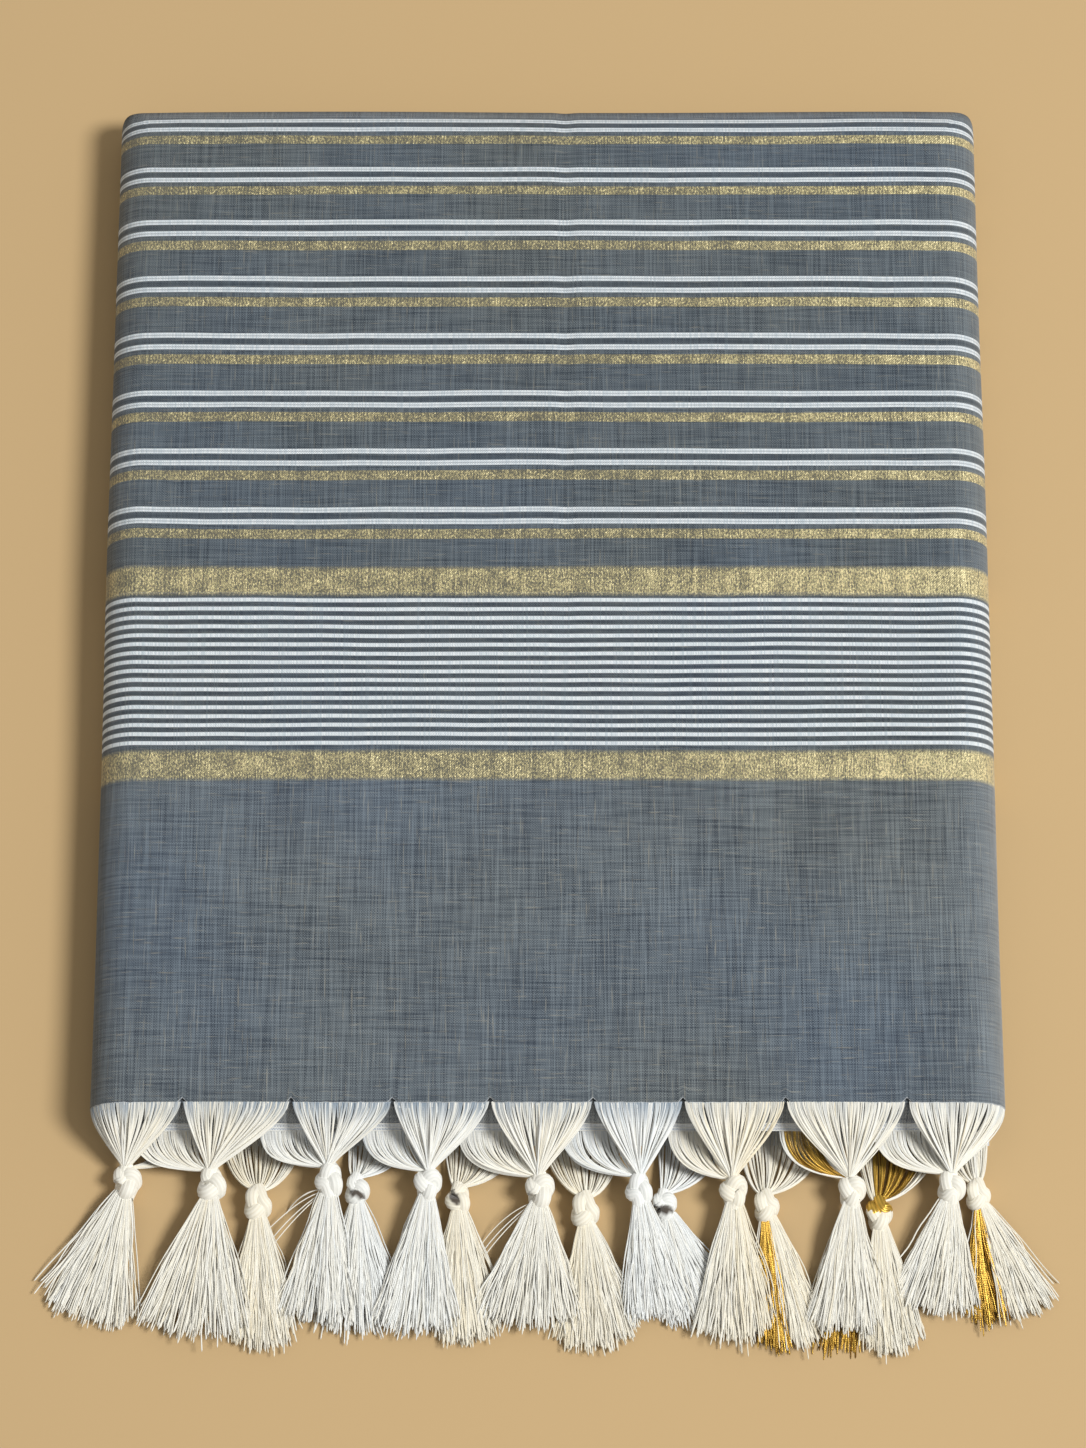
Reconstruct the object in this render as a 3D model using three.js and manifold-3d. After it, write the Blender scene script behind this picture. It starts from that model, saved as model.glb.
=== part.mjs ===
// A handloom cotton saree, folded flat into a packet, with its knotted tassels on the near side.
// Units are millimetres. X runs across the packet, +Y away from the tassels, +Z up.
// The origin is the middle of the underside, which lies flat on the surface.
import * as THREE from 'three';
import { mergeVertices } from 'three/addons/utils/BufferGeometryUtils.js';
import Module from 'manifold-3d';

const wasm = await Module();
wasm.setup();

// Driving dimensions
const CLOTH_WIDTH = 1150;            // the woven width
const PLIES_ACROSS = 4;              // the width is folded in four
const PACKET = { width: CLOTH_WIDTH / PLIES_ACROSS, head: 173, near: -172, thickness: 24 };
const WALL = 1.6;                    // one ply as a solid
const GAP = 0.3;                     // between pieces that touch
const CORNER_POWER = 3.5;            // squareness of the head corners seen from above
const ROLL = PACKET.thickness / 2;   // radius of the rolled sides and head
const FLAT = { x: PACKET.width / 2 - ROLL, y: PACKET.head - ROLL };  // where the rolls begin
const FLOOR_GAP = 0.35;              // strands end just above the surface

// The small cuts between the fans of threads, along the top ply's near edge
const NOTCH = { depth: 1.7, halfWidth: 1.6, x: [-113.9, -80, -48.5, -18, 14.1, 42.2, 74.1, 112] };
// The soft crease where the packet was once folded down the middle
const CREASE = { x: 6, halfWidth: 5, depth: 0.45 };
// The second ply shows past the top one and sinks towards its own edge
const SECOND = {
  near: -178.5, hidden: -150, bend: -171.5, wrap: 0.5 * Math.PI,
  sunkCentre: 7.5, sunkHeight: 4.55, sunkWidth: 7.6,
};
// The ply underneath, a little wider where it shows past the rolled sides
const UNDER = { near: -180.5, frontHalfWidth: 139.5 };
// The leaves of the folded body at the near end: where they part, and from the lowest one up
// how far each one reaches
const LEAVES = { root: -165.5, reach: [-167.2, -168.6, -167.6, -168.8, -168.2] };

// Tassels: place of the knot, its half width, the way the skirt leans and spreads in degrees,
// its length, and the span of cloth edge that its lower fan of threads comes from. In front that
// is the second ply's edge, or with low the one underneath, and at the rear always the latter.
const FRONT_TASSELS = [
  {
    x: -132.1, y: -193.3, z: 5.4, knot: 4.5, lean: -17, spread: 17, length: 42, fan: [-122, -114],
    low: true,
  },
  { x: -105.3, y: -194.6, z: 7.6, knot: 4.5, lean: -6, spread: 18, length: 44, fan: [-124, -108] },
  { x: -68.4, y: -193.4, z: 8.6, knot: 4.4, lean: -6.5, spread: 14, length: 41, fan: [-79, -70] },
  { x: -37.6, y: -194.6, z: 8, knot: 4.3, lean: -3, spread: 15, length: 44, fan: [-52, -44] },
  { x: -2.4, y: -196.4, z: 7.6, knot: 4.6, lean: -4, spread: 19, length: 40, fan: [-18, -9] },
  { x: 28.6, y: -196.4, z: 8.6, knot: 4.2, lean: 9, spread: 12, length: 38, fan: [12, 25] },
  { x: 58.3, y: -197, z: 8, knot: 4.4, lean: -1, spread: 14, length: 43, fan: [48, 57] },
  { x: 95.2, y: -196.8, z: 8, knot: 4.3, lean: -3.5, spread: 14, length: 41, fan: [82, 94] },
  { x: 126.3, y: -195.6, z: 8.4, knot: 4.3, lean: -9, spread: 17, length: 37, fan: [110, 123] },
];
const REAR_TASSELS = [
  { x: -91, y: -200.2, z: 4.8, knot: 4.4, lean: 3, spread: 12, length: 42, fan: [-98, -84] },
  { x: -59.9, y: -195.6, z: 4.3, knot: 3.9, lean: 1, spread: 15, length: 42, fan: [-62, -51] },
  { x: -28, y: -198.6, z: 4.3, knot: 3.9, lean: 4, spread: 11, length: 42, fan: [-32, -18] },
  { x: 11.6, y: -202.4, z: 4.9, knot: 4.5, lean: 7, spread: 15, length: 40, fan: [4.5, 19] },
  { x: 36.6, y: -200.6, z: 4.3, knot: 3.9, lean: 20, spread: 14, length: 36, fan: [36, 50] },
  { x: 68.5, y: -201, z: 4.4, knot: 4, lean: 9, spread: 11, length: 43, fan: [63, 80] },
  { x: 103.9, y: -203.6, z: 4.6, knot: 4.2, lean: 5, spread: 11, length: 41, fan: [103, 119] },
  { x: 135, y: -197.4, z: 4.3, knot: 3.9, lean: 17, spread: 17, length: 38, fan: [128.5, 138] },
];
// How many locks of threads stand for each fan and skirt, and their size; fill is the part of
// the distance between two locks that each one takes up
const LOCKS = { topFan: 6, lowerFan: 3, frontSkirt: 7, rearSkirt: 6 };
const LOCK = { fill: 0.8, fanDepth: 1.3, skirtDepth: 2.2, rootDepth: 3 };
// A knot, in parts of its half width: its length, its flatness, the place of the roots of its
// locks, and the ridges that its overhand loop leaves
const KNOT = {
  length: 1.3, flatness: 0.9, rootSpread: 0.55, rootDepth: 0.65, ridge: 0.1, ridges: 2, twist: 2.4,
};
// A fan: how far its locks run straight off the edge, how high they enter the knot, and how
// closely they are gathered before it
const FAN = { top: { straight: 9, entry: 1.4 }, lower: { straight: 5, entry: 0 }, gather: 0.12 };
// A skirt: where along its length a lock bends down and where it settles, how unevenly it is cut,
// and how far the front skirts lie above the rear ones that they cross
const SKIRT = { bend: 0.15, settle: 0.4, uneven: 1.6, clear: 1.3, reachDegrees: 9 };

// Materials
const cottonBlue = new THREE.MeshStandardMaterial({ color: '#6c7684', roughness: 0.85, metalness: 0 });
const cottonDeep = new THREE.MeshStandardMaterial({ color: '#5c6675', roughness: 0.9, metalness: 0 });
const cottonWhite = new THREE.MeshStandardMaterial({ color: '#ece8dc', roughness: 0.8, metalness: 0 });

// Small helpers for lists of numbers
const steps = (from, to, count) => (
  Array.from({ length: count + 1 }, (_, i) => from + (to - from) * i / count)
);
const mix = (a, b, k) => a + (b - a) * k;
const clamp01 = (k) => Math.min(Math.max(k, 0), 1);
const smooth = (k) => clamp01(k) ** 2 * (3 - 2 * clamp01(k));

// Adds two triangles for every cell of a grid of points, facing along (step in u) x (step in v)
function addPatch(triangles, us, vs, place) {
  for (let i = 0; i + 1 < us.length; i += 1) {
    for (let j = 0; j + 1 < vs.length; j += 1) {
      const a = place(us[i], vs[j]);
      const b = place(us[i + 1], vs[j]);
      const c = place(us[i + 1], vs[j + 1]);
      const d = place(us[i], vs[j + 1]);
      triangles.push([a, b, c], [a, c, d]);
    }
  }
}

// Welds loose triangles into one closed geometry and drops those that shrank to a line
function weld(triangles) {
  const real = triangles.filter(([a, b, c]) => new THREE.Triangle(a, b, c).getArea() > 1e-6);
  const loose = new THREE.BufferGeometry().setFromPoints(real.flat());
  return mergeVertices(loose, 1e-3);
}

function toSolid(geometry) {
  const bare = geometry.clone();
  bare.deleteAttribute('normal');
  bare.deleteAttribute('uv');
  const shared = mergeVertices(bare, 1e-4);
  return new wasm.Manifold(new wasm.Mesh({
    numProp: 3,
    vertProperties: new Float32Array(shared.attributes.position.array),
    triVerts: new Uint32Array(shared.index.array),
  }));
}

function fromSolid(solid) {
  const { vertProperties, triVerts } = solid.getMesh();
  const geometry = new THREE.BufferGeometry();
  geometry.setAttribute('position', new THREE.BufferAttribute(vertProperties, 3));
  geometry.setIndex(new THREE.BufferAttribute(triVerts, 1));
  geometry.computeVertexNormals();
  return geometry;
}

// A point of cloth laid over the packet. s and t are lengths along the cloth from its middle.
// Past the flat top the cloth turns down on a roll: it goes out by across * sin(angle) and its
// height is centre + up * cos(angle), where the angle grows with the length beyond the flat.
function wrapPoint(s, t, { across, up, centre = ROLL }) {
  const x = Math.min(Math.max(s, -FLAT.x), FLAT.x);
  const y = Math.min(t, FLAT.y);
  const beyond = [Math.abs(s - x), t - y];
  const length = (beyond[0] ** CORNER_POWER + beyond[1] ** CORNER_POWER) ** (1 / CORNER_POWER);
  const angle = length / ROLL;
  const way = length > 0 ? [beyond[0] / length * Math.sign(s), beyond[1] / length] : [0, 0];
  const out = across * Math.sin(angle);
  return new THREE.Vector3(x + way[0] * out, y + way[1] * out, centre + up * Math.cos(angle));
}

const creaseDepth = (s) => CREASE.depth * smooth(1 - Math.abs(s - CREASE.x) / CREASE.halfWidth);
const notchDepth = (s) => {
  const nearness = NOTCH.x.map((x) => 1 - Math.abs(s - x) / NOTCH.halfWidth);
  return NOTCH.depth * Math.max(...nearness, 0);
};

// Corner stations turn from the side (0) to the head (1), with a length along the cloth
function cornerPlace(side, turn, length) {
  const way = [Math.cos(turn * Math.PI / 2), Math.sin(turn * Math.PI / 2)];
  const norm = (way[0] ** CORNER_POWER + way[1] ** CORNER_POWER) ** (1 / CORNER_POWER);
  return [side * (FLAT.x + way[0] / norm * length), FLAT.y + way[1] / norm * length];
}

const ROLL_END = Math.PI * ROLL;
const rollSteps = steps(0, ROLL_END, 10);
const cornerTurns = steps(0, 1, 5);

// Top, sides, head and both head corners of a wrap, as patches of place(s, t). Returns the
// stations of s from one lower edge over the top to the other.
function addWrap(triangles, across, along, place) {
  const left = rollSteps.slice(1).reverse().map((length) => -FLAT.x - length);
  const right = rollSteps.slice(1).map((length) => FLAT.x + length);
  const headRows = rollSteps.map((length) => FLAT.y + length);
  addPatch(triangles, [...left, ...across, ...right], along, place);
  addPatch(triangles, across, headRows, place);
  addPatch(triangles, rollSteps, cornerTurns, (length, turn) => place(...cornerPlace(1, turn, length)));
  addPatch(triangles, cornerTurns, rollSteps, (turn, length) => place(...cornerPlace(-1, turn, length)));
  return [...left, ...across, ...right];
}

// The top ply of the pallu, rolled down both sides and the head, open on the near side
function makePalluOver() {
  const outer = { across: ROLL, up: ROLL };
  const inner = { across: ROLL - WALL, up: ROLL - WALL };
  const near = (s) => PACKET.near + notchDepth(s);
  const place = (radii, sunk) => (s, t) => {
    const point = wrapPoint(s, t === PACKET.near ? near(s) : t, radii);
    if (sunk) point.z -= creaseDepth(s) * smooth((FLAT.y + ROLL_END - t) / ROLL_END);
    return point;
  };
  const outside = place(outer, true);
  const inside = place(inner, false);
  const notches = NOTCH.x.flatMap((x) => [x - NOTCH.halfWidth, x, x + NOTCH.halfWidth]);
  const creases = steps(CREASE.x - CREASE.halfWidth, CREASE.x + CREASE.halfWidth, 4);
  const across = [-FLAT.x, ...notches, ...creases, FLAT.x].sort((a, b) => a - b);
  const along = [PACKET.near, SECOND.hidden, ...steps(SECOND.hidden, FLAT.y, 3).slice(1)];

  const triangles = [];
  addWrap(triangles, across, along, outside);
  const lining = [];
  const stations = addWrap(lining, across, along, inside);
  triangles.push(...lining.map(([a, b, c]) => [a, c, b]));
  addPatch(triangles, stations, [0, 1], (s, k) => (k ? outside : inside)(s, PACKET.near));
  const hem = [
    ...along.map((t) => [-FLAT.x - ROLL_END, t]),
    ...cornerTurns.slice(1, -1).map((turn) => cornerPlace(-1, turn, ROLL_END)),
    ...across.map((s) => [s, FLAT.y + ROLL_END]),
    ...cornerTurns.slice(1, -1).reverse().map((turn) => cornerPlace(1, turn, ROLL_END)),
    ...[...along].reverse().map((t) => [FLAT.x + ROLL_END, t]),
  ];
  addPatch(triangles, [...hem.keys()], [0, 1], (i, k) => (k ? inside : outside)(...hem[i]));
  return weld(triangles);
}

// How far the second ply has sunk at t: 0 under the top ply, 1 at its own edge
const sinking = (t) => clamp01((SECOND.bend - t) / (SECOND.bend - SECOND.near));
const secondRadii = (t, depth) => {
  const radius = ROLL - WALL - GAP;
  return {
    across: mix(radius, SECOND.sunkWidth, smooth(sinking(t))) - depth,
    up: mix(radius, SECOND.sunkHeight, smooth(sinking(t))) - depth,
    centre: mix(ROLL, SECOND.sunkCentre, smooth(sinking(t))),
  };
};

// The second ply: hidden under the top one, then sinking round the near end to its own edge
function makePalluSecond() {
  const end = FLAT.x + SECOND.wrap * ROLL;
  const stations = [
    ...steps(-end, -FLAT.x, 5), ...steps(-FLAT.x, FLAT.x, 6).slice(1, -1), ...steps(FLAT.x, end, 5),
  ];
  const along = [...steps(SECOND.near, SECOND.bend, 4), SECOND.hidden];
  const outside = (s, t) => wrapPoint(s, t, secondRadii(t, 0));
  const inside = (s, t) => wrapPoint(s, t, secondRadii(t, WALL));
  const triangles = [];
  addPatch(triangles, stations, along, outside);
  addPatch(triangles, along, stations, (t, s) => inside(s, t));
  const skins = [inside, outside];
  addPatch(triangles, stations, [0, 1], (s, k) => skins[k](s, SECOND.near));
  addPatch(triangles, [0, 1], stations, (k, s) => skins[k](s, SECOND.hidden));
  addPatch(triangles, [0, 1], along, (k, t) => skins[k](-end, t));
  addPatch(triangles, along, [0, 1], (t, k) => skins[k](end, t));
  return weld(triangles);
}

// The hidden plies as one solid inside the wrap, its near end cut into rounded leaves
function makeFoldedBody() {
  const wide = ROLL - WALL - GAP;
  const narrow = wide - WALL - GAP;
  const step = [SECOND.hidden + GAP, SECOND.hidden + 2 * GAP];
  const place = (s, t) => {
    const radius = t > step[0] ? wide : narrow;
    const point = wrapPoint(s, t, { across: radius, up: radius });
    if (point.z < ROLL) point.z = ROLL - (ROLL - point.z) * wide / radius;
    return point;
  };
  const nearEnd = Math.min(...LEAVES.reach) - 1;
  const along = [nearEnd, ...step, 0, FLAT.y];
  const across = steps(-FLAT.x, FLAT.x, 4);
  const triangles = [];
  const stations = addWrap(triangles, across, along, place);
  const below = (s, t) => new THREE.Vector3(s, t, ROLL - wide);
  addPatch(triangles, along, across, (t, s) => below(s, t));
  const centre = new THREE.Vector3(0, nearEnd, ROLL);
  const rim = [
    ...stations.map((s) => place(s, nearEnd)),
    ...[...across].reverse().map((s) => below(s, nearEnd)),
  ];
  rim.forEach((point, i) => triangles.push([centre, point, rim[(i + 1) % rim.length]].reverse()));

  // The scalloped side view: one half ellipse for each leaf
  const lowest = ROLL - wide - 1;
  const highest = PACKET.thickness;
  const pitch = (wide + narrow) / LEAVES.reach.length;
  const outline = new THREE.Shape();
  outline.moveTo(PACKET.head, lowest);
  outline.lineTo(LEAVES.root, lowest);
  LEAVES.reach.forEach((reach, i) => {
    const middle = ROLL - wide + pitch * (i + 0.5);
    const [from, to] = [-Math.PI / 2, -Math.PI * 1.5];
    outline.absellipse(LEAVES.root, middle, LEAVES.root - reach, pitch / 2, from, to, true);
  });
  outline.lineTo(LEAVES.root, highest);
  outline.lineTo(PACKET.head, highest);
  const extrusion = { depth: PACKET.width, bevelEnabled: false, curveSegments: 6 };
  const leaves = new THREE.ExtrudeGeometry(outline, extrusion);
  leaves.applyMatrix4(new THREE.Matrix4().makeBasis(
    new THREE.Vector3(0, 1, 0), new THREE.Vector3(0, 0, 1), new THREE.Vector3(1, 0, 0),
  ));
  leaves.translate(-PACKET.width / 2, 0, 0);
  return fromSolid(toSolid(weld(triangles)).intersect(toSolid(leaves)));
}

// The ply that the packet rests on, flush with the rolled sides
function makePalluUnder() {
  const half = FLAT.x - GAP;
  const head = FLAT.y - GAP;
  const wide = UNDER.frontHalfWidth;
  const shoulder = PACKET.near - GAP;
  const corners = [
    [-wide, UNDER.near], [wide, UNDER.near], [wide, shoulder], [half, shoulder],
    [half, head], [-half, head], [-half, shoulder], [-wide, shoulder],
  ];
  const outline = new THREE.Shape(corners.map(([x, y]) => new THREE.Vector2(x, y)));
  return new THREE.ExtrudeGeometry(outline, { depth: WALL, bevelEnabled: false });
}

// A lock of threads: a three-sided bar along a curve, its flat side away from the way up
function lock(curve, width, depth, outward, count = 4) {
  const points = [];
  const faces = [];
  const corner = [[-0.5, -0.5], [0.5, -0.5], [0, 0.5]];
  for (let i = 0; i <= count; i += 1) {
    const k = i / count;
    const middle = curve.getPoint(k);
    const along = curve.getTangent(k).normalize();
    const aside = new THREE.Vector3().crossVectors(along, outward).normalize();
    const up = new THREE.Vector3().crossVectors(aside, along);
    corner.forEach(([a, b]) => points.push(
      middle.clone().addScaledVector(aside, a * width(k)).addScaledVector(up, b * depth(k)),
    ));
  }
  for (let i = 0; i < count; i += 1) {
    for (let j = 0; j < 3; j += 1) {
      const a = i * 3 + j;
      const b = i * 3 + (j + 1) % 3;
      faces.push(b, a, a + 3, b, a + 3, b + 3);
    }
  }
  const last = count * 3;
  faces.push(0, 1, 2, last, last + 2, last + 1);
  return new wasm.Manifold(new wasm.Mesh({
    numProp: 3,
    vertProperties: new Float32Array(points.flatMap((point) => point.toArray())),
    triVerts: new Uint32Array(faces),
  }));
}

// The knot: a ball drawn out along the tassel, with the turns of its overhand loop as ridges
function knot({ x, y, z, knot: halfWidth }) {
  const sides = steps(0, Math.PI * 2, 9);
  const rings = steps(0, Math.PI, 6);
  const place = (around, down) => {
    const ridge = 1 + KNOT.ridge * Math.cos(KNOT.ridges * around + KNOT.twist * down);
    const radius = halfWidth * Math.sin(down) * ridge;
    return new THREE.Vector3(
      x + radius * Math.cos(around),
      y + halfWidth * KNOT.length * Math.cos(down),
      z + radius * KNOT.flatness * Math.sin(around),
    );
  };
  const triangles = [];
  addPatch(triangles, sides, rings, (around, down) => place(around === sides.at(-1) ? 0 : around, down));
  return toSolid(weld(triangles));
}

// A fan of locks from the cloth's edge: each one runs straight off the edge, then bends to the knot.
// Neighbours keep apart, so a lock's width follows the distance between two curves.
function fan({ x, y, z, knot: halfWidth }, starts, { straight, entry }) {
  const last = starts.length - 1;
  const pitch = Math.abs(starts[last].s - starts[0].s) / last;
  const rootPitch = 2 * KNOT.rootSpread * halfWidth / last;
  const pitches = [pitch, pitch, FAN.gather * pitch + rootPitch, rootPitch];
  const apart = new THREE.CubicBezierCurve3(...pitches.map((size) => new THREE.Vector3(size, 0, 0)));
  return starts.map(({ point, outward }, i) => {
    const side = i / last * 2 - 1;
    const root = { x: x + side * halfWidth * KNOT.rootSpread, y: y + halfWidth * KNOT.rootDepth };
    const into = new THREE.Vector3(root.x, root.y, z + entry);
    const off = point.clone().add(new THREE.Vector3(0, -straight, 0));
    const bend = into.clone().add(new THREE.Vector3(0, straight / 2, straight / 4));
    bend.x = mix(into.x, point.x, FAN.gather);
    const curve = new THREE.CubicBezierCurve3(point, off, bend, into);
    return lock(curve, (k) => LOCK.fill * apart.getPoint(k).x, () => LOCK.fanDepth, outward);
  });
}

const LYING = FLOOR_GAP + LOCK.skirtDepth / 2;
const ON_TOP = LYING + LOCK.skirtDepth + SKIRT.clear;

// Whether a point lies within a tassel's spread skirt, seen from above
function coveredBy({ x, y, lean, spread }, point) {
  const angle = THREE.MathUtils.radToDeg(Math.atan2(point.x - x, y - point.y));
  return Math.abs(angle - lean) < spread + SKIRT.reachDegrees;
}

// The skirt: locks that leave the knot side by side and sink to the surface, or onto the skirts
// below, cut a little unevenly
function skirt({ x, y, z, knot: halfWidth, lean, spread, length }, count, below) {
  const rootPitch = 2 * KNOT.rootSpread * halfWidth / (count - 1);
  const tipPitch = rootPitch + 2 * THREE.MathUtils.degToRad(spread) * length / (count - 1);
  return steps(-1, 1, count - 1).map((side, i) => {
    const angle = THREE.MathUtils.degToRad(lean + side * spread);
    const away = new THREE.Vector3(Math.sin(angle), -Math.cos(angle), 0);
    const reach = length + (i % 3 - 1) * SKIRT.uneven;
    const root = { x: x + side * halfWidth * KNOT.rootSpread, y: y - halfWidth * KNOT.rootDepth };
    const start = new THREE.Vector3(root.x, root.y, z);
    const stops = [SKIRT.bend, SKIRT.settle, 1];
    const [bend, settle, tip] = stops.map((part) => start.clone().addScaledVector(away, part * reach));
    const lifted = below.some((tassel) => coveredBy(tassel, tip) || coveredBy(tassel, settle));
    tip.z = lifted ? ON_TOP : LYING;
    settle.z = mix(tip.z, z, lifted ? 0.3 : 0.1);
    const curve = new THREE.CubicBezierCurve3(start, bend, settle, tip);
    const width = (k) => LOCK.fill * mix(rootPitch, tipPitch, curve.getPoint(k).distanceTo(start) / reach);
    const depth = (k) => mix(LOCK.rootDepth, LOCK.skirtDepth, smooth(2 * k));
    return lock(curve, width, depth, new THREE.Vector3(0, 0, 1));
  });
}

// Where threads leave the edge of a ply, with the way the cloth faces there
const onTop = (s) => edgeStart(s, PACKET.near, { across: ROLL - WALL / 2, up: ROLL - WALL / 2 });
const onSecondPly = (s) => edgeStart(s, SECOND.near, secondRadii(SECOND.near, WALL / 2));
const onUnderPly = (s) => ({
  s,
  point: new THREE.Vector3(s, UNDER.near - GAP, FLOOR_GAP + LOCK.fanDepth / 2),
  outward: new THREE.Vector3(0, 0, 1),
});
function edgeStart(s, edge, radii) {
  const point = wrapPoint(s, edge - GAP, radii);
  const facing = wrapPoint(s, edge - GAP, { ...radii, across: radii.across + 1, up: radii.up + 1 });
  return { s, point, outward: facing.sub(point).normalize() };
}

function makeLowerFan(tassel, isLow) {
  const starts = steps(...tassel.fan, LOCKS.lowerFan - 1).map(isLow ? onUnderPly : onSecondPly);
  return fan(tassel, starts, FAN.lower);
}

// A front tassel takes the threads of the top ply between two notches, and a fan of a lower ply
function makeFrontTassel(tassel, index) {
  const rolledEdge = FLAT.x + ROLL * 1.6;
  const cuts = [-rolledEdge, ...NOTCH.x, rolledEdge];
  const [from, to] = cuts.slice(index, index + 2);
  const inset = (to - from) / LOCKS.topFan / 2;
  const starts = steps(from + inset, to - inset, LOCKS.topFan - 1).map(onTop);
  return wasm.Manifold.union([
    knot(tassel),
    ...fan(tassel, starts, FAN.top),
    ...makeLowerFan(tassel, tassel.low),
    ...skirt(tassel, LOCKS.frontSkirt, REAR_TASSELS),
  ]);
}

function makeRearTassel(tassel) {
  return wasm.Manifold.union([
    knot(tassel),
    ...makeLowerFan(tassel, true),
    ...skirt(tassel, LOCKS.rearSkirt, []),
  ]);
}

const saree = new THREE.Group();
function add(name, geometry, material) {
  const mesh = new THREE.Mesh(geometry, material);
  mesh.name = name;
  saree.add(mesh);
}

add('pallu_over', makePalluOver(), cottonBlue);
add('pallu_second', makePalluSecond(), cottonBlue);
add('folded_body', makeFoldedBody(), cottonDeep);
add('pallu_under', makePalluUnder(), cottonBlue);
FRONT_TASSELS.forEach((tassel, i) => {
  add(`tassel_front_${i + 1}`, fromSolid(makeFrontTassel(tassel, i)), cottonWhite);
});
REAR_TASSELS.forEach((tassel, i) => {
  add(`tassel_rear_${i + 1}`, fromSolid(makeRearTassel(tassel)), cottonWhite);
});

export default saree;
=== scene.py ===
# %% [markdown]
# # A folded cotton saree with knotted tassels
# This lesson dresses a folded handloom saree. The imported model gives each piece its size and
# place, and every piece here follows it: the end piece (pallu) rolled over the packet, the plies
# that peek out beneath it, and the warp threads gathered into tassels. We start by loading that
# frame and reading the boxes of its parts.

import bpy
import numpy as np
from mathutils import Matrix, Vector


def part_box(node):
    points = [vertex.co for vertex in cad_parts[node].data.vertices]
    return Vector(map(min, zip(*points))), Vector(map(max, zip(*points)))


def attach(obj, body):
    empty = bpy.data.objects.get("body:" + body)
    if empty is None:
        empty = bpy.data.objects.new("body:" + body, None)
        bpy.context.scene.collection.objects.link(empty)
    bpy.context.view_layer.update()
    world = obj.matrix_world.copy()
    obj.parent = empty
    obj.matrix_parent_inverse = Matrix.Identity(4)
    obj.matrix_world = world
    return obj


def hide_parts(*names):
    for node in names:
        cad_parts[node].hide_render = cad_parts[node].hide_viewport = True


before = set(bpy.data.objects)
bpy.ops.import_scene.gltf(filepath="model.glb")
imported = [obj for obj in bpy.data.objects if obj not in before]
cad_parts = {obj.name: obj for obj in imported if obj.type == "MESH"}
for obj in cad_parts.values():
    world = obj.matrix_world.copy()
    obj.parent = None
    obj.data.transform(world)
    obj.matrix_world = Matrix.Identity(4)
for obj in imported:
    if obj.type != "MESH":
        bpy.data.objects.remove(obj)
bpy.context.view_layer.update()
MM = 0.001

# %% [markdown]
# ## Sizes
# All sizes here are in millimetres, in the frame's own axes: X across the packet, Y away from
# the tassels, Z up. A rolled side is half a circle, so its radius is half the packet's thickness,
# and the flat top begins one radius inside the packet's outline.

# %% Driving sizes, read from the frame
over_low, over_high = (np.array(corner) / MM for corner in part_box("pallu_over"))
second_low, second_high = (np.array(corner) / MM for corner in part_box("pallu_second"))
under_low, under_high = (np.array(corner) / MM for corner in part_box("pallu_under"))
body_low, body_high = (np.array(corner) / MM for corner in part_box("folded_body"))
ROLL = (over_high[2] - over_low[2]) / 2
FLAT_X = over_high[0] - ROLL
# The head fold lies a millimetre inside its box
FLAT_Y = over_high[1] - ROLL - 1
NEAR = over_low[1]
HALF_TURN = np.pi * ROLL
# How square the head corners are (2 is round), and how far round the roll the top ply goes
CORNER_POWER = 5
TURN_END = 0.985 * HALF_TURN
PLY = 0.8
GAP = 0.3
# The small cuts in the near edge where the fans part
NOTCHES = np.array([-113.9, -80, -48.5, -18, 14.1, 42.2, 74.1, 112])
NOTCH_DEPTH, NOTCH_HALF_WIDTH = 1.7, 1.6
print(f"roll radius {ROLL:.1f}, flat top {2 * FLAT_X:.1f} wide, near edge at {NEAR:.1f}")

# %% [markdown]
# ## Camera
# The photograph looks down on the packet, tilted 18 degrees from straight down, from about 1.47 m
# with a long lens, so the far end looks only a little narrower than the near one.

# %% The camera
TILT = np.radians(18)
camera = bpy.data.objects.new("camera", bpy.data.cameras.new("camera"))
camera.location = (-0.00145, -0.4901, 1.3844)
camera.rotation_euler = (TILT, 0, 0)
camera.data.lens = 111.1
bpy.context.scene.collection.objects.link(camera)
bpy.context.scene.camera = camera
print(f"camera {np.linalg.norm(camera.location):.2f} m away, tilted {np.degrees(TILT):.0f} degrees")

# %% [markdown]
# ## Grids and threads as arrays
# Cloth is a grid of points, and a thread is a tube along a path. Both are worked out by numpy as
# whole arrays. The mesh keeps a UV map: on cloth it is the place in the weave, in metres along the
# weft and the warp, so stripes stay on their threads where the cloth rolls over. On a thread
# it is the turn around it and the length along it.

# %% Helpers for meshes
def smooth(k):
    """Three k squared less two k cubed, for k held between 0 and 1."""
    k = np.clip(k, 0, 1)
    return k * k * (3 - 2 * k)


def circle(count):
    """So many angles, evenly round a full turn."""
    return np.linspace(0, 2 * np.pi, count, endpoint=False)


def mesh_object(name, points, quads, uv, finishes, values=None, finish_of=None, normals=None):
    """One mesh from points in millimetres, faces of four corners, and a UV pair for each corner."""
    mesh = bpy.data.meshes.new(name)
    mesh.from_pydata((points * MM).tolist(), [], quads.tolist())
    mesh.uv_layers.new(name="weave").data.foreach_set("uv", uv.astype(np.float32).ravel())
    for attribute, numbers in (values or {}).items():
        layer = mesh.attributes.new(attribute, "FLOAT", "POINT")
        layer.data.foreach_set("value", numbers.astype(np.float32))
    for finish in finishes:
        mesh.materials.append(finish)
    if finish_of is not None:
        mesh.polygons.foreach_set("material_index", finish_of.astype(np.int32))
    mesh.shade_smooth()
    if normals is not None:
        mesh.normals_split_custom_set_from_vertices(normals.tolist())
    piece = bpy.data.objects.new(name, mesh)
    bpy.context.scene.collection.objects.link(piece)
    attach(piece, "root")
    return piece


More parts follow.
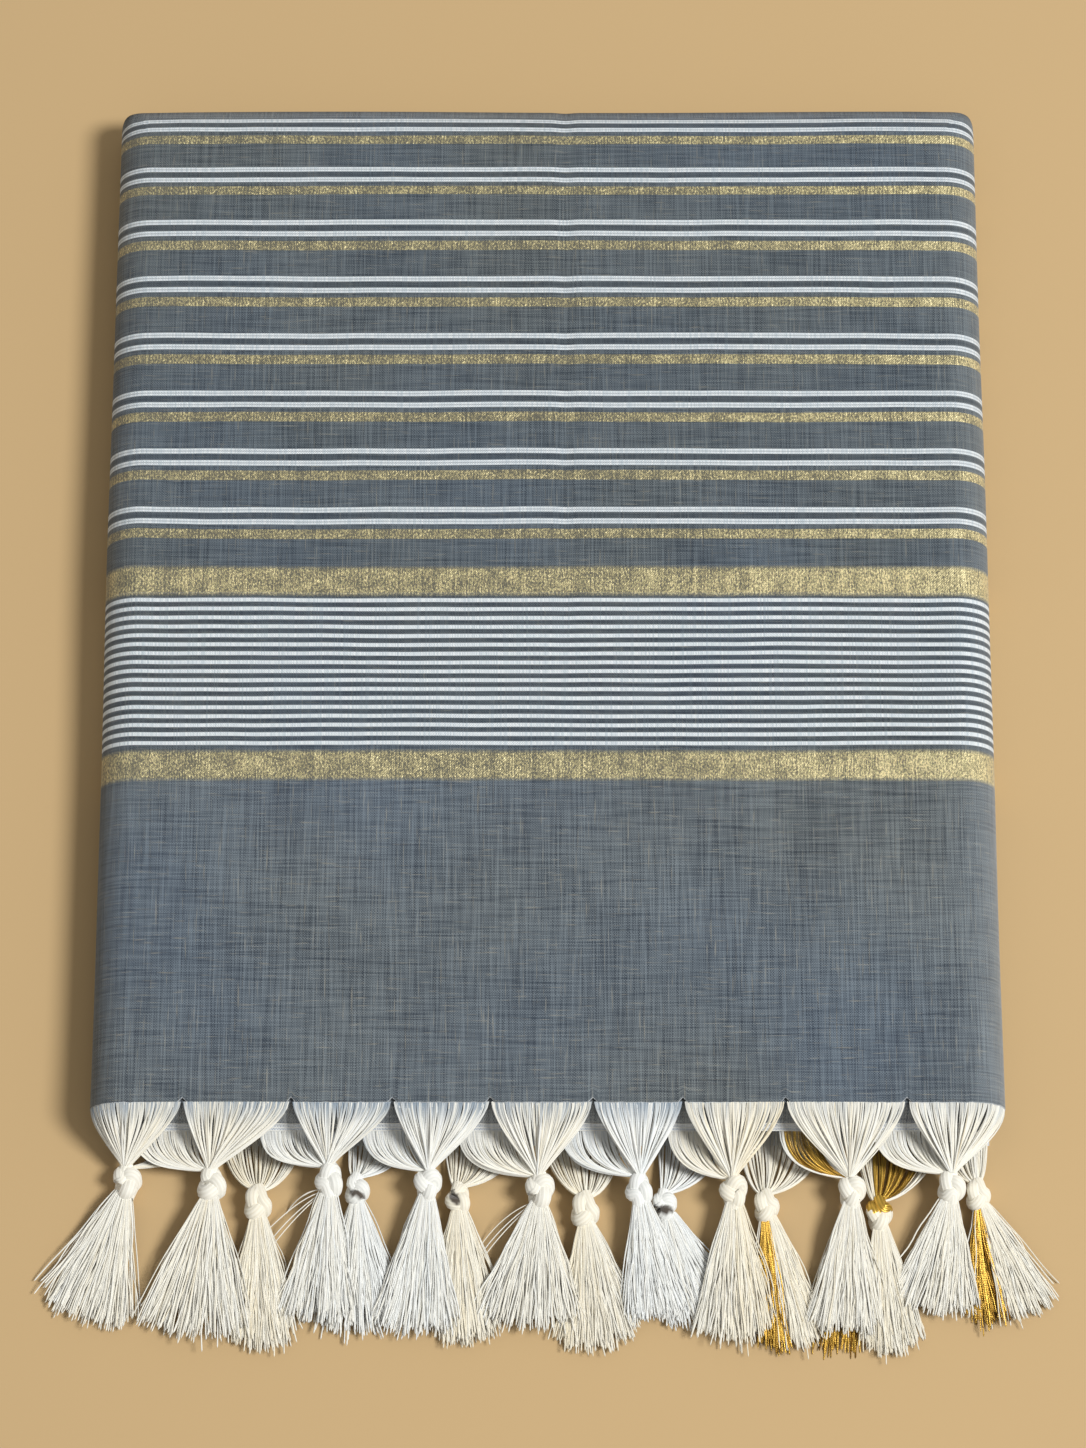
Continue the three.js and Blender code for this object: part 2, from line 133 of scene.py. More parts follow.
def grid_quads(rows, columns, wrap_columns=False):
    """Corner numbers of each cell: (i, j), (i, j+1), (i+1, j+1), (i+1, j)."""
    j = np.arange(columns if wrap_columns else columns - 1)
    i = np.arange(rows - 1)[:, None]
    after = (j + 1) % columns
    cells = [i * columns + j, i * columns + after, (i + 1) * columns + after, (i + 1) * columns + j]
    return np.stack(cells, axis=-1).reshape(-1, 4)


def cloth_grid(name, place, s, t, finish, rim_finish):
    """A ply: place(s, t) on a grid of lengths along the weft and the warp, then given its wall."""
    weft, warp = np.meshgrid(s, t)
    points = np.stack(place(weft, warp), axis=-1).reshape(-1, 3)
    quads = grid_quads(len(t), len(s))
    flat = np.stack([weft, warp], axis=-1).reshape(-1, 2) * MM
    piece = mesh_object(name, points, quads, flat[quads.ravel()], [finish, rim_finish])
    wall = piece.modifiers.new("wall", "SOLIDIFY")
    wall.thickness = PLY * MM
    wall.offset = -1
    wall.material_offset_rim = 1
    print(f"{name}: {len(quads)} cells, {PLY} mm thick")
    return piece


def tube_arrays(paths, radii, sides):
    """Rings round each path: path + radius (cos a * across + sin a * up), across = tangent x Z."""
    count, steps, _ = paths.shape
    tangent = np.gradient(paths, axis=1)
    tangent /= np.linalg.norm(tangent, axis=-1, keepdims=True)
    across = np.cross(tangent, [0, 0, 1.0])
    across /= np.linalg.norm(across, axis=-1, keepdims=True) + 1e-9
    up = np.cross(tangent, across)
    angle = circle(sides) + np.pi / 2 - np.pi / sides
    ring = np.cos(angle)[:, None] * across[:, :, None] + np.sin(angle)[:, None] * up[:, :, None]
    points = paths[:, :, None] + radii[..., None, None] * ring
    # Fuzz scatters light round a spun thread, so its shading turns up more than its surface does
    soft = 0.5 * ring + np.array([0, 0, 0.5])
    quads = grid_quads(steps, sides, wrap_columns=True)
    all_quads = (quads[None] + (np.arange(count) * steps * sides)[:, None, None]).reshape(-1, 4)
    length = np.cumsum(np.linalg.norm(np.diff(paths, axis=1, prepend=paths[:, :1]), axis=-1), axis=1)
    turn = np.broadcast_to(np.arange(sides) / sides, (count, steps, sides))
    along = np.broadcast_to(length[:, :, None] * MM, (count, steps, sides))
    uv = np.stack([turn, along], axis=-1).reshape(-1, 2)
    return points.reshape(-1, 3), all_quads, uv[all_quads.ravel()], soft.reshape(-1, 3)


def stations(steps):
    """Places along a thread from 0 to 1: even, with one more close to each end, where it is cut."""
    return np.concatenate([[0], np.linspace(0.012, 0.988, steps - 2), [1]])


def bezier(p0, p1, p2, p3, steps):
    """Cubic curves: (1-k)^3 p0 + 3k(1-k)^2 p1 + 3k^2(1-k) p2 + k^3 p3, for many at once."""
    k = stations(steps)[None, :, None]
    p0, p1, p2, p3 = (p[:, None, :] for p in (p0, p1, p2, p3))
    return (1 - k) ** 3 * p0 + 3 * k * (1 - k) ** 2 * p1 + 3 * k * k * (1 - k) * p2 + k ** 3 * p3


print("cells of a grid of 3 by 3 points:", len(grid_quads(3, 3)))

# %% [markdown]
# ## Finishes
# The cloth is plain-woven cotton, so the eye sees two sets of threads crossing: streaks along the
# warp and the weft, small thick places (slubs), and no gloss. Colours are sRGB hex values turned
# linear by one function. One small function adds a node, sets it and links it, and three short
# ones use it: for a sum, for a straight change from one value to another, and for a mix of colours.

# %% Colour and node helpers
def linear(hex_colour):
    """sRGB to linear: value / 12.92 when dark, else ((value + 0.055) / 1.055) to the power 2.4."""
    value = np.array([int(hex_colour[i:i + 2], 16) for i in (1, 3, 5)]) / 255
    out = np.where(value <= 0.04045, value / 12.92, ((value + 0.055) / 1.055) ** 2.4)
    return (*out.tolist(), 1.0)


def add(tree, kind, inputs=(), out=0, **settings):
    """Adds a node, sets it, and gives each input a plain value or another node's output."""
    node = tree.nodes.new("ShaderNode" + kind)
    for setting, value in settings.items():
        setattr(node, setting, value)
    for socket, value in dict(inputs).items():
        if isinstance(value, bpy.types.NodeSocket):
            tree.links.new(value, node.inputs[socket])
        else:
            node.inputs[socket].default_value = value
    return node.outputs[out]


def calc(tree, operation, *values, **settings):
    """A sum such as ADD, MAXIMUM or MULTIPLY_ADD, which is the first times the second plus the third."""
    return add(tree, "Math", dict(enumerate(values)), operation=operation, **settings)


def rise(tree, value, start, end, last=1, first=0):
    """A straight change from first to last as the value goes from start to end, and level beyond."""
    ends = {"Value": value, "From Min": start, "From Max": end, "To Min": first, "To Max": last}
    return add(tree, "MapRange", ends)


def blend(tree, share, one, other):
    """One times (1 - share) plus other times share: two colours, or hex values that become colours."""
    one, other = (linear(each) if isinstance(each, str) else each for each in (one, other))
    return add(tree, "Mix", {0: share, 6: one, 7: other}, out=2, data_type="RGBA")


def new_finish(name, roughness):
    """A material with its name, roughness and a weak reflection, such as spun cotton has."""
    finish = bpy.data.materials.new(name)
    finish.use_nodes = True
    shader = finish.node_tree.nodes["Principled BSDF"]
    shader.inputs["Roughness"].default_value = roughness
    shader.inputs["Specular IOR Level"].default_value = 0.25
    return finish, finish.node_tree, shader


print("mid grey #808080 is", round(linear("#808080")[0], 3), "linear")

# %% [markdown]
# ## The striped weave
# The pallu repeats every 20.4 mm: two white lines and a narrow band of gold thread (zari). Then
# come a wide zari band, seventeen white lines, and a second wide band. Each repeat is a list of
# from, to and kind in millimetres, drawn as the stops of one ramp along the warp. Zari is a
# metallic ribbon wound on a core, so it shows in flecks between the grey threads that cross it,
# and the glints in those flecks are partly painted into its colour.

# %% The pattern along the warp
STRIPE_PITCH, FIRST_LINE = 20.4, 189.5
LINE_PITCH, LINED_FROM = 3.03, -4.4
GROUND, WHITE, ZARI, SHADE = (0, 0, 0, 1), (1, 0, 0, 1), (0, 1, 0, 1), (0, 0, 1, 1)
PALE = (0.6, 0, 0, 1)
REPEAT = [(0.1, 0.75, WHITE), (0.75, 1.2, PALE), (1.2, 1.85, WHITE), (2.3, 3.8, SHADE),
          (4.2, 4.85, WHITE), (4.85, 5.3, PALE), (5.3, 5.95, WHITE), (7.7, 11.0, ZARI)]
LINED = [(0.0, 0.5, SHADE), (0.86, 2.17, WHITE), (2.55, 3.03, SHADE)]
# The zones of the pallu from its near edge on: where the lined and the striped parts lie
ZONES = [(106.1, 114.9, ZARI), (116.1, 167.6, SHADE), (168.1, 176.9, ZARI), (181, 400, WHITE)]
ZONES_LENGTH = 400


def ramp_over(tree, place, length, bands, soft):
    """A colour ramp over one length: two stops, a little apart, at each change of band."""
    ramp = tree.nodes.new("ShaderNodeValToRGB")
    tree.links.new(place, ramp.inputs[0])
    stops = ramp.color_ramp.elements
    stops[0].color = stops[1].color = GROUND
    kind_before = GROUND
    ends = [*[start for start, _, _ in bands[1:]], length]
    for (start, end, kind), next_start in zip(bands, ends):
        if start < soft:
            stops[0].color = kind
        else:
            stops.new((start - soft) / length).color = kind_before
            stops.new((start + soft) / length).color = kind
        kind_before = kind
        if end < min(next_start, length - soft):
            stops.new((end - soft) / length).color = kind
            stops.new((end + soft) / length).color = GROUND
            kind_before = GROUND
    stops[len(stops) - 1].color = kind_before
    return ramp.outputs[0]


print("white lines in the lined band:", int((ZONES[1][1] - ZONES[1][0]) / LINE_PITCH))

# %% [markdown]
# ## The weave itself
# The cloth is handloom cotton in plain weave: each thread goes over one and under the next. A
# grid of crossing waves decides whether the warp or the weft lies on top, and each thread keeps
# its own tone, which gives the eye matt cloth with fine streaks both ways. The zari is gilt
# ribbon, so it alone is metallic. Image textures would be simpler, but this stays sharp close up.

# %% The weave finish
# The threads are drawn 0.8 mm apart, where the real ones are 0.4 mm apart, so that the weave shows
# from where the camera stands
THREAD_STEP = 0.8


def weave_finish(name, striped, pale_edge):
    """Plain-woven cotton, slate blue-grey, undyed nearer the tassels than pale_edge millimetres."""
    finish, tree, shader = new_finish(name, roughness=0.88)
    shader.inputs["Sheen Weight"].default_value = 0.5
    weave = add(tree, "UVMap", uv_map="weave")
    cloth = add(tree, "VectorMath", {0: weave, 1: (1000, 1000, 1000)}, operation="MULTIPLY")
    across = add(tree, "SeparateXYZ", {0: cloth})
    down = add(tree, "SeparateXYZ", {0: cloth}, out=1)

    def streaks(width, length, detail=2.0):
        """Noise in cells of so many millimetres, turned a little so that no borders of cells line up."""
        cells = add(tree, "Mapping", {"Vector": cloth, "Scale": (1 / width, 1 / length, 1)})
        turn = add(tree, "VectorMath", {0: cells, 1: (0, 0, 0.37)}, operation="CROSS_PRODUCT")
        cells = add(tree, "VectorMath", {0: cells, 1: turn}, operation="ADD")
        cells = {"Vector": cells, "Scale": 1.0, "Detail": detail}
        return add(tree, "TexNoise", cells, noise_dimensions="2D")

    # Every thread has its own tone, and warp and weft lie on top in turn
    warp, weft = streaks(0.6, 30), streaks(24, 0.6)
    waver = streaks(6, 6)
    turns = [calc(tree, "ADD", place, waver) for place in (across, down)]
    turns = [calc(tree, "MULTIPLY", turn, 2 * np.pi / THREAD_STEP) for turn in turns]
    waves = [calc(tree, "SINE", turn) for turn in turns]
    crossing = calc(tree, "MULTIPLY", waves[0], waves[1])
    on_top = rise(tree, crossing, -0.5, 0.5)
    tone = add(tree, "Mix", {0: on_top, 2: warp, 3: weft})
    cloud = streaks(26, 60, 1.0)
    uneven = calc(tree, "MULTIPLY_ADD", cloud, 0.12, -0.06)
    # A tenth of the crossing waves is painted shade over the weave's relief; the cloud is the cloth's own
    # unevenness
    weave_shade_and_cloud = calc(tree, "MULTIPLY_ADD", crossing, 0.1, uneven)
    level = calc(tree, "ADD", tone, weave_shade_and_cloud)
    level = rise(tree, level, 0.29, 0.69)
    ground = blend(tree, level, "#31393f", "#828989")
    indigo = blend(tree, level, "#303f54", "#6e8093")
    vats = streaks(60, 80, 0.0)
    blue = rise(tree, vats, 0.2, 0.8, last=0.6, first=0.12)
    ground = blend(tree, blue, ground, indigo)
    slub = calc(tree, "MAXIMUM", streaks(0.7, 14), streaks(9, 0.65))
    slub = rise(tree, slub, 0.64, 0.8, 0.45)
    colour = blend(tree, slub, ground, "#aaa698")

    # Undyed warp, close to the cut edge, where the weft is loose
    undyed = blend(tree, warp, "#c6d3df", "#ffffff")
    edge = calc(tree, "LESS_THAN", down, pale_edge)
    edge = calc(tree, "MULTIPLY", edge, 0.9)
    if not striped:
        # On the lower plies the weft thins out over the last millimetres before the edge
        spots = calc(tree, "MULTIPLY", tone, 0.5)
        thin = rise(tree, down, pale_edge, pale_edge + 7, last=0.2, first=1)
        spots = calc(tree, "MULTIPLY", spots, thin)
        edge = calc(tree, "MAXIMUM", edge, spots)
    colour = blend(tree, edge, colour, undyed)

    if striped:
        # The striped part is woven closer than the plain end, so its dye looks deeper
        deeper_dye_and_fold_shade = rise(tree, down, -66, -56, 0.22)
        # Painted shade on the head fold and the left fold, which turn away from the light
        fold_shades = ((down, 164, 174, 0.6), (across, -132, -146, 0.28))
        for place, start, end, depth in fold_shades:
            fold_shade = rise(tree, place, start, end, depth)
            deeper_dye_and_fold_shade = calc(tree, "MAXIMUM", deeper_dye_and_fold_shade, fold_shade)
        # Painted light on the right fold, which faces the window
        right_fold_light = rise(tree, across, 126, 148, 0.25)
        colour = blend(tree, right_fold_light, colour, "#a4adb2")
        # Deeper dye on the striped part, and painted shade on the head and left folds
        colour = blend(tree, deeper_dye_and_fold_shade, colour, "#303c42")
        # A little wander keeps the hand-thrown lines from looking ruled
        wander = calc(tree, "MULTIPLY_ADD", streaks(45, 30), 0.7, -0.35)
        down = calc(tree, "ADD", down, wander)
        # The last repeats before the head are beaten closer together, by 4.2 mm in all
        closer = rise(tree, down, 135, 175, 4.2)
        down = calc(tree, "ADD", down, closer)
        ramps = []
        for first, pitch, bands in ((FIRST_LINE, STRIPE_PITCH, REPEAT), (LINED_FROM, LINE_PITCH, LINED)):
            place = calc(tree, "SUBTRACT", first, down)
            place = calc(tree, "DIVIDE", place, pitch)
            place = calc(tree, "FRACT", place)
            ramps.append(ramp_over(tree, place, pitch, bands, soft=0.1))
        place = rise(tree, down, NEAR, NEAR + ZONES_LENGTH)
        zones = ramp_over(tree, place, ZONES_LENGTH, ZONES, soft=0.15)
        zone = [add(tree, "SeparateColor", {0: zones}, out=channel) for channel in range(3)]
        bands = blend(tree, zone[2], blend(tree, zone[0], GROUND, ramps[0]), ramps[1])
        white, zari, shade = (add(tree, "SeparateColor", {0: bands}, out=channel) for channel in range(3))
        zari = calc(tree, "MAXIMUM", zari, zone[1])
        # Flecks come in clusters and short upright streaks, and closer in the two wide bands
        flecks = calc(tree, "ADD", streaks(0.5, 0.55), streaks(0.55, 1.1))
        clusters = calc(tree, "MULTIPLY_ADD", streaks(6, 5), 0.45, -0.285)
        upright = calc(tree, "MULTIPLY_ADD", warp, 0.5, -0.25)
        denser = calc(tree, "MULTIPLY", zone[1], 0.07)
        for part in (clusters, upright, denser):
            flecks = calc(tree, "ADD", flecks, part)
        # Painted glint that grows towards the right side, which faces the light
        painted_glint_right = rise(tree, across, 30, 145, 0.2)
        flecks = calc(tree, "ADD", flecks, painted_glint_right)
        # The flecks mix dull and bright gold: the ribbon showing between the threads that cross it, and
        # painted glint
        mottle_and_painted_glint = rise(tree, flecks, 0.82, 1.42)
        gold = blend(tree, mottle_and_painted_glint, "#696759", "#ecdda2")
        # Rare near-white sparks are painted highlights
        painted_sparks = rise(tree, flecks, 1.16, 1.36, 0.6)
        gold = blend(tree, painted_sparks, gold, "#fff3c4")
        dull = rise(tree, warp, 0.3, 0.7, 0.6)
        lines = blend(tree, dull, "#f4fafd", "#a9bac6")
        dark = calc(tree, "MULTIPLY", shade, 0.45)
        colour = blend(tree, dark, colour, "#333e49")
        colour = blend(tree, zari, colour, gold)
        colour = blend(tree, white, colour, lines)
        metal = calc(tree, "MULTIPLY", zari, mottle_and_painted_glint)
        metal = calc(tree, "MULTIPLY", metal, 0.6)
        tree.links.new(metal, shader.inputs["Metallic"])
        gloss = calc(tree, "MULTIPLY_ADD", zari, -0.46, 0.88)
        tree.links.new(gloss, shader.inputs["Roughness"])
        # Less sheen where the cloth is darker: on the striped part, and most where shade is painted on the
        # folds
        bloom = calc(tree, "MULTIPLY_ADD", deeper_dye_and_fold_shade, -0.75, 0.5, use_clamp=True)
        tree.links.new(bloom, shader.inputs["Sheen Weight"])
    tree.links.new(colour, shader.inputs["Base Color"])
    threads = calc(tree, "MULTIPLY_ADD", tone, 3.0, crossing)
    bump = add(tree, "Bump", {"Strength": 0.55, "Distance": 0.0002, "Height": threads})
    tree.links.new(bump, shader.inputs["Normal"])
    return finish


# Matt cotton with a faint bloom of loose fibre where the cloth turns away from the eye
pallu_weave = weave_finish("handloom_cotton_striped", striped=True, pale_edge=NEAR + 0.15)
plain_weave = weave_finish("handloom_cotton_plain", striped=False, pale_edge=second_low[1] + 1.9)
base_weave = weave_finish("handloom_cotton_base", striped=False, pale_edge=NEAR - 2 * GAP)
for weave in (pallu_weave, plain_weave, base_weave):
    print(weave.name, "has", len(weave.node_tree.nodes), "nodes")

# %% [markdown]
# ## Tassel threads
# The tassels are the saree's own warp threads, soft two-ply cotton. Four numbers ride on each
# point: tone, from a shaded colour to a lit one, which is painted shade and light; warmth from a
# cool white to cream; hem, painted blue shade that fades out from the cloth's edge; and one that
# darkens a patch on a few knots. A few threads are zari, where the gold border ran.

# %% Thread finishes
VALUES = ("tone", "warmth", "hem", "smoke")


def thread_finish(name, shaded, light, metallic=0.0, roughness=0.7, relief=0.03):
    """Spun thread: shaded and light are painted shade and light, each from cool to warm, and a bump twists
    two plies.
    """
    finish, tree, shader = new_finish(name, roughness)
    tone, warmth, hem, smoke = (add(tree, "Attribute", out=2, attribute_name=each) for each in VALUES)
    spun = blend(tree, tone, *(blend(tree, warmth, cool, warm) for cool, warm in (shaded, light)))
    # Painted blue shade where the threads leave the cloth's edge
    hem_shade_and_spot = blend(tree, hem, spun, "#8c9cab")
    # A darker patch on a few knots
    hem_shade_and_spot = blend(tree, smoke, hem_shade_and_spot, "#4f463d")
    weave = add(tree, "UVMap", uv_map="weave")
    around, along = (add(tree, "SeparateXYZ", {0: weave}, out=axis) for axis in range(2))
    twist = calc(tree, "MULTIPLY_ADD", along, 900.0, around)
    twist = calc(tree, "MULTIPLY", twist, 4 * np.pi)
    plies = calc(tree, "SINE", twist)
    bump = add(tree, "Bump", {"Strength": 0.4, "Distance": relief * MM, "Height": plies})
    tree.links.new(hem_shade_and_spot, shader.inputs["Base Color"])
    tree.links.new(bump, shader.inputs["Normal"])
    shader.inputs["Metallic"].default_value = metallic
    # Loose fibres catch light along each thread's sides
    shader.inputs["Sheen Weight"].default_value = 0.0 if metallic else 0.9
    return finish


# Undyed two-ply cotton: soft, white to cream, with its own light bloom
cotton_thread = thread_finish("cotton_thread_undyed", ("#dee5e6", "#ecdbb4"), ("#fbfdfb", "#fff7e0"))
# Gilt ribbon wound on a cotton core, whose turns glint and whose gaps stay dark: here painted shade and
# glint, at random from thread to thread
gold_thread = thread_finish(
    "zari_thread_gold", ("#6a4708", "#6a4708"), ("#edc25a", "#edc25a"), 0.65, 0.32, 0.12)

print("thread finishes:", cotton_thread.name, gold_thread.name)

# %% [markdown]
# ## The pallu over the packet
# The top ply is one sheet. Past the flat top it turns down on a roll: it goes out by the sine of
# the angle and down by the cosine, and the angle grows with the length beyond the flat. At the
# head corners both lengths count, and the way out turns from the side to the head on a squarish
# curve. A soft crease runs down the middle, where the packet was once folded again.

# %% The top ply
def wrap(s, t, radius_out, radius_up, centre):
    """Cloth at lengths s, t: out = radius sin(angle) along the way, height = centre + up cos(angle)."""
    x = np.clip(s, -FLAT_X, FLAT_X)
    y = np.minimum(t, FLAT_Y)
    aside, ahead = np.abs(s - x), t - y
    longest = np.maximum(aside, ahead)
    norm = (aside ** CORNER_POWER + ahead ** CORNER_POWER) ** (1 / CORNER_POWER) + 1e-9
    angle = longest / ROLL
    out = radius_out * np.sin(angle)
    height = centre + radius_up * np.cos(angle)
    return x + np.sign(s) * aside / norm * out, y + ahead / norm * out, height


def cloth_relief(s, t):
    """Soft hand-folded unevenness, the centre crease, and a fade to nothing below the sides."""
    crease = -0.45 * smooth(1 - np.abs(s - 6) / 5) * smooth((t + 40) / 60)
    swell = 0.22 * np.sin(s / 31 + 0.8) * np.sin(t / 43 + 0.5) + 0.14 * np.sin((0.6 * s + t) / 17)
    sides = 0.35 * np.sin(t / 38 + 1.2) * smooth((np.abs(s) - FLAT_X + 12) / 16)
    beyond = np.maximum(np.abs(s) - FLAT_X, t - FLAT_Y)
    fade = 1 - smooth(beyond / (HALF_TURN * 0.85))
    return (crease + swell - 0.2 + sides) * fade


def near_edge(s):
    """The near edge with a small cut at each parting of the fans, and the wander of the hem."""
    parting = np.clip(1 - np.abs(s[..., None] - NOTCHES) / NOTCH_HALF_WIDTH, 0, 1).max(axis=-1)
    return NEAR + NOTCH_DEPTH * parting + 0.12 * np.sin(s * 1.7) * np.sin(s * 0.61)


def pallu_place(s, t):
    """The wrap with its relief, its last 8 mm drawn in to the cut near edge."""
    reach = smooth((NEAR + 8 - t) / 8)
    t = t + reach * (near_edge(s) - NEAR)
    radius = ROLL + cloth_relief(s, t)
    return wrap(s, t, radius, radius, ROLL)


weft = np.unique(np.concatenate([
    np.linspace(-FLAT_X - TURN_END, FLAT_X + TURN_END, 221),
    (NOTCHES[:, None] + np.linspace(-1, 1, 7) * NOTCH_HALF_WIDTH).ravel(),
]))
warp = np.linspace(NEAR, NEAR + 8, 7)[:-1]
warp = np.concatenate([warp, np.linspace(NEAR + 8, FLAT_Y + TURN_END, 150)])
pallu_top = cloth_grid("pallu_top", pallu_place, weft, warp, pallu_weave, plain_weave)
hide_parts("pallu_over")

# %% [markdown]
# ## The second ply
# The second ply shows between the fans and past the top ply's edge, and sinks round the packet's
# near end, as loose cloth does. It uses the same wrap, with a section that sinks and narrows, so
# the two plies stay side by side on the rolled sides too.

# %% The second ply
SECOND_NEAR, SECOND_BEND, SECOND_HIDDEN = second_low[1], NEAR + 0.5, second_high[1]
SUNK_CENTRE, SUNK_HEIGHT, SUNK_WIDTH = 7.5, 4.55, 7.6
SECOND_RADIUS = second_high[2] - ROLL


def second_place(s, t):
    """As the top ply, with the section sinking and narrowing towards its own edge."""
    sunk = smooth((SECOND_BEND - t) / (SECOND_BEND - SECOND_NEAR))
    out = SECOND_RADIUS + (SUNK_WIDTH - SECOND_RADIUS) * sunk
    up = SECOND_RADIUS + (SUNK_HEIGHT - SECOND_RADIUS) * sunk + 0.25 * np.sin(s / 9) * sunk
    return wrap(s, t, out, up, ROLL + (SUNK_CENTRE - ROLL) * sunk)


second_half = FLAT_X + HALF_TURN / 2
second_weft = np.linspace(-second_half, second_half, 161)
second_warp = np.linspace(SECOND_NEAR, SECOND_BEND, 13)[:-1]
second_warp = np.concatenate([second_warp, np.linspace(SECOND_BEND, SECOND_HIDDEN, 9)])
pallu_lower = cloth_grid(
    "pallu_lower", second_place, second_weft, second_warp, plain_weave, plain_weave)
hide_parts("pallu_second")

# %% [markdown]
# ## The ply underneath
# The last turn of the folded cloth lies flat on the surface and carries the packet. The rear
# tassels hang from its edge, so its front strip is as wide as the packet and its weft is loose.

# %% The ply underneath
UNDER_NEAR, UNDER_HALF = under_low[1], under_high[0]
UNDER_HEAD = under_high[1]


def under_place(s, t):
    """Flat on the surface, wide in front of the rolled sides and narrower between them."""
    narrow = FLAT_X - GAP
    half = np.where(t < NEAR - GAP, UNDER_HALF, narrow)
    return s * half, t, np.full_like(t, PLY)


under_warp = [UNDER_NEAR, NEAR - 2 * GAP, NEAR + GAP, *np.linspace(NEAR + 6, UNDER_HEAD, 60)]
pallu_base = cloth_grid(
    "pallu_base", under_place, np.linspace(-1, 1, 121), under_warp, base_weave, base_weave)
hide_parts("pallu_under")

# %% [markdown]
# ## The hidden plies
# Inside lie all the plies that nobody sees. They could be drawn one by one, but one rounded block
# fills the same place, and only its near end, which shows between the tassels from low down,
# needs the folded leaves as ridges.

# %% The hidden plies as one block
LEAF_COUNT = 9


def block_points(around, rings):
    """Stadium sections: full ones along the packet, shrinking ones over each end."""
    up = (body_high[2] - body_low[2]) / 2 - 0.1
    middle = (body_high[2] + body_low[2]) / 2
    flat = FLAT_X - 2
    angle = circle(around)
    x = np.sign(np.cos(angle)) * np.abs(np.cos(angle)) ** 0.35 * (flat + up - 2.4)
    z = np.sign(np.sin(angle)) * np.minimum(np.abs(np.sin(angle)) ** 0.8 * 1.02, 1) * up
    shrink = np.concatenate([np.linspace(0.02, 1, rings), np.ones(6), np.linspace(1, 0.02, rings)])
    front, back = body_low[1] + 1.6, body_high[1] - 1.5
    between = np.linspace(front + 3, back - 12, 6)
    along = np.concatenate([np.full(rings, front), between, np.full(rings, back)])
    bulge = np.concatenate([np.full(rings, 1.0), np.zeros(6), np.zeros(rings)])
    head = np.concatenate([np.zeros(rings + 6), np.sqrt(1 - np.linspace(1, 0.02, rings) ** 2)])
    along = along - 12 * (1 - head) * (np.arange(len(along)) >= rings + 6)
    xs, zs = shrink[:, None] * x, shrink[:, None] * z
    leaf = np.abs(np.sin(np.pi * LEAF_COUNT * (zs + up) / (2 * up)))
    ys = along[:, None] - bulge[:, None] * 1.6 * leaf ** 0.6
    return np.stack([xs, ys, zs + middle], axis=-1)


block = block_points(around=240, rings=30)
block_quads = grid_quads(block.shape[0], block.shape[1], wrap_columns=True)[:, ::-1]
block_uv = (block[..., [0, 1]].reshape(-1, 2) * MM)[block_quads.ravel()]
folded_plies = mesh_object(
    "folded_plies", block.reshape(-1, 3), block_quads, block_uv, [plain_weave])
print("the block has", len(block_quads), "cells and", LEAF_COUNT, "leaves at its near end")
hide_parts("folded_body")

# %% [markdown]
# ## Tassels
# A tassel is made by hand: a width of warp threads is gathered, knotted once overhand, and its
# ends are combed out and cut. Each row below gives one tassel: the knot's place and half width,
# the way its skirt leans and spreads in degrees, its length, the span of the lower ply that joins
# it, and its warmth from left to right. over says which half of the fan passes on top where both
# meet at the knot, and turn how the knot lies.

# %% The table of tassels
COLUMNS = ("at", "half", "lean", "spread", "length", "fan", "warmth", "over", "turn")
ROWS = {
    "front_1": ((-132.1, -193.3, 5.4), 4.5, -17, 15, 42, (-122, -110), (0.45, 0.55), 1, 0.3),
    "front_2": ((-105.3, -194.6, 7.6), 4.5, -7, 18, 44, (-130, -106), (0.5, 0.5), 1, 0.9),
    "front_3": ((-68.4, -193.4, 8.6), 4.4, -5, 12.5, 41, (-90, -70), (0.3, 0.22), 1, 5.6),
    "front_4": ((-37.6, -194.6, 8.0), 4.3, -5, 12.5, 44, (-58, -39), (0.2, 0.25), -1, 4.2),
    "front_5": ((-2.4, -196.4, 7.6), 4.6, -4, 19, 40, (-28, -5), (0.38, 0.55), 1, 0.0),
    "front_6": ((28.6, -196.4, 8.6), 4.2, 9.5, 12, 38, (4, 26), (0.12, 0.1), -1, 5.4),
    "front_7": ((58.3, -197.0, 8.0), 4.4, -0.5, 12.5, 43, (38, 57), (0.5, 0.9), 1, 3.9),
    "front_8": ((95.2, -196.8, 8.0), 4.3, -3.5, 12.5, 41, (73, 94), (0.5, 0.55), 1, 4.4),
    "front_9": ((126.3, -195.6, 8.4), 4.3, -9, 16, 37, (102, 125), (0.45, 0.5), -1, 4.9),
    "rear_1": ((-91.0, -200.2, 4.8), 4.4, 3, 12, 42, (-104, -77), (0.9, 0.6), -1, 2.9),
    "rear_2": ((-59.9, -195.6, 4.3), 3.9, 1, 15, 42, (-63, -44), (0.3, 0.05), 1, 0.7),
    "rear_3": ((-28.0, -198.6, 4.3), 3.9, 4, 12, 42, (-33, -9), (0.8, 0.65), 1, 1.4),
    "rear_4": ((11.6, -202.4, 4.9), 4.5, 7, 15, 40, (-2, 24), (0.9, 0.55), -1, 2.9),
    "rear_5": ((36.6, -200.6, 4.3), 3.9, 20, 14, 36, (35, 56), (0.15, 0.1), 1, 0.2),
    "rear_6": ((68.5, -201.0, 4.4), 4.0, 10, 11, 43, (60, 88), (0.6, 0.8), 1, 2.6),
    "rear_7": ((103.9, -203.6, 4.6), 4.2, 5, 10.5, 41, (97, 124), (0.85, 0.6), 1, 2.3),
    "rear_8": ((135.0, -197.4, 4.3), 3.9, 17, 17, 38, (124, 139), (0.75, 0.55), 1, 2.7),
}
TASSELS = {name: dict(zip(COLUMNS, row)) for name, row in ROWS.items()}
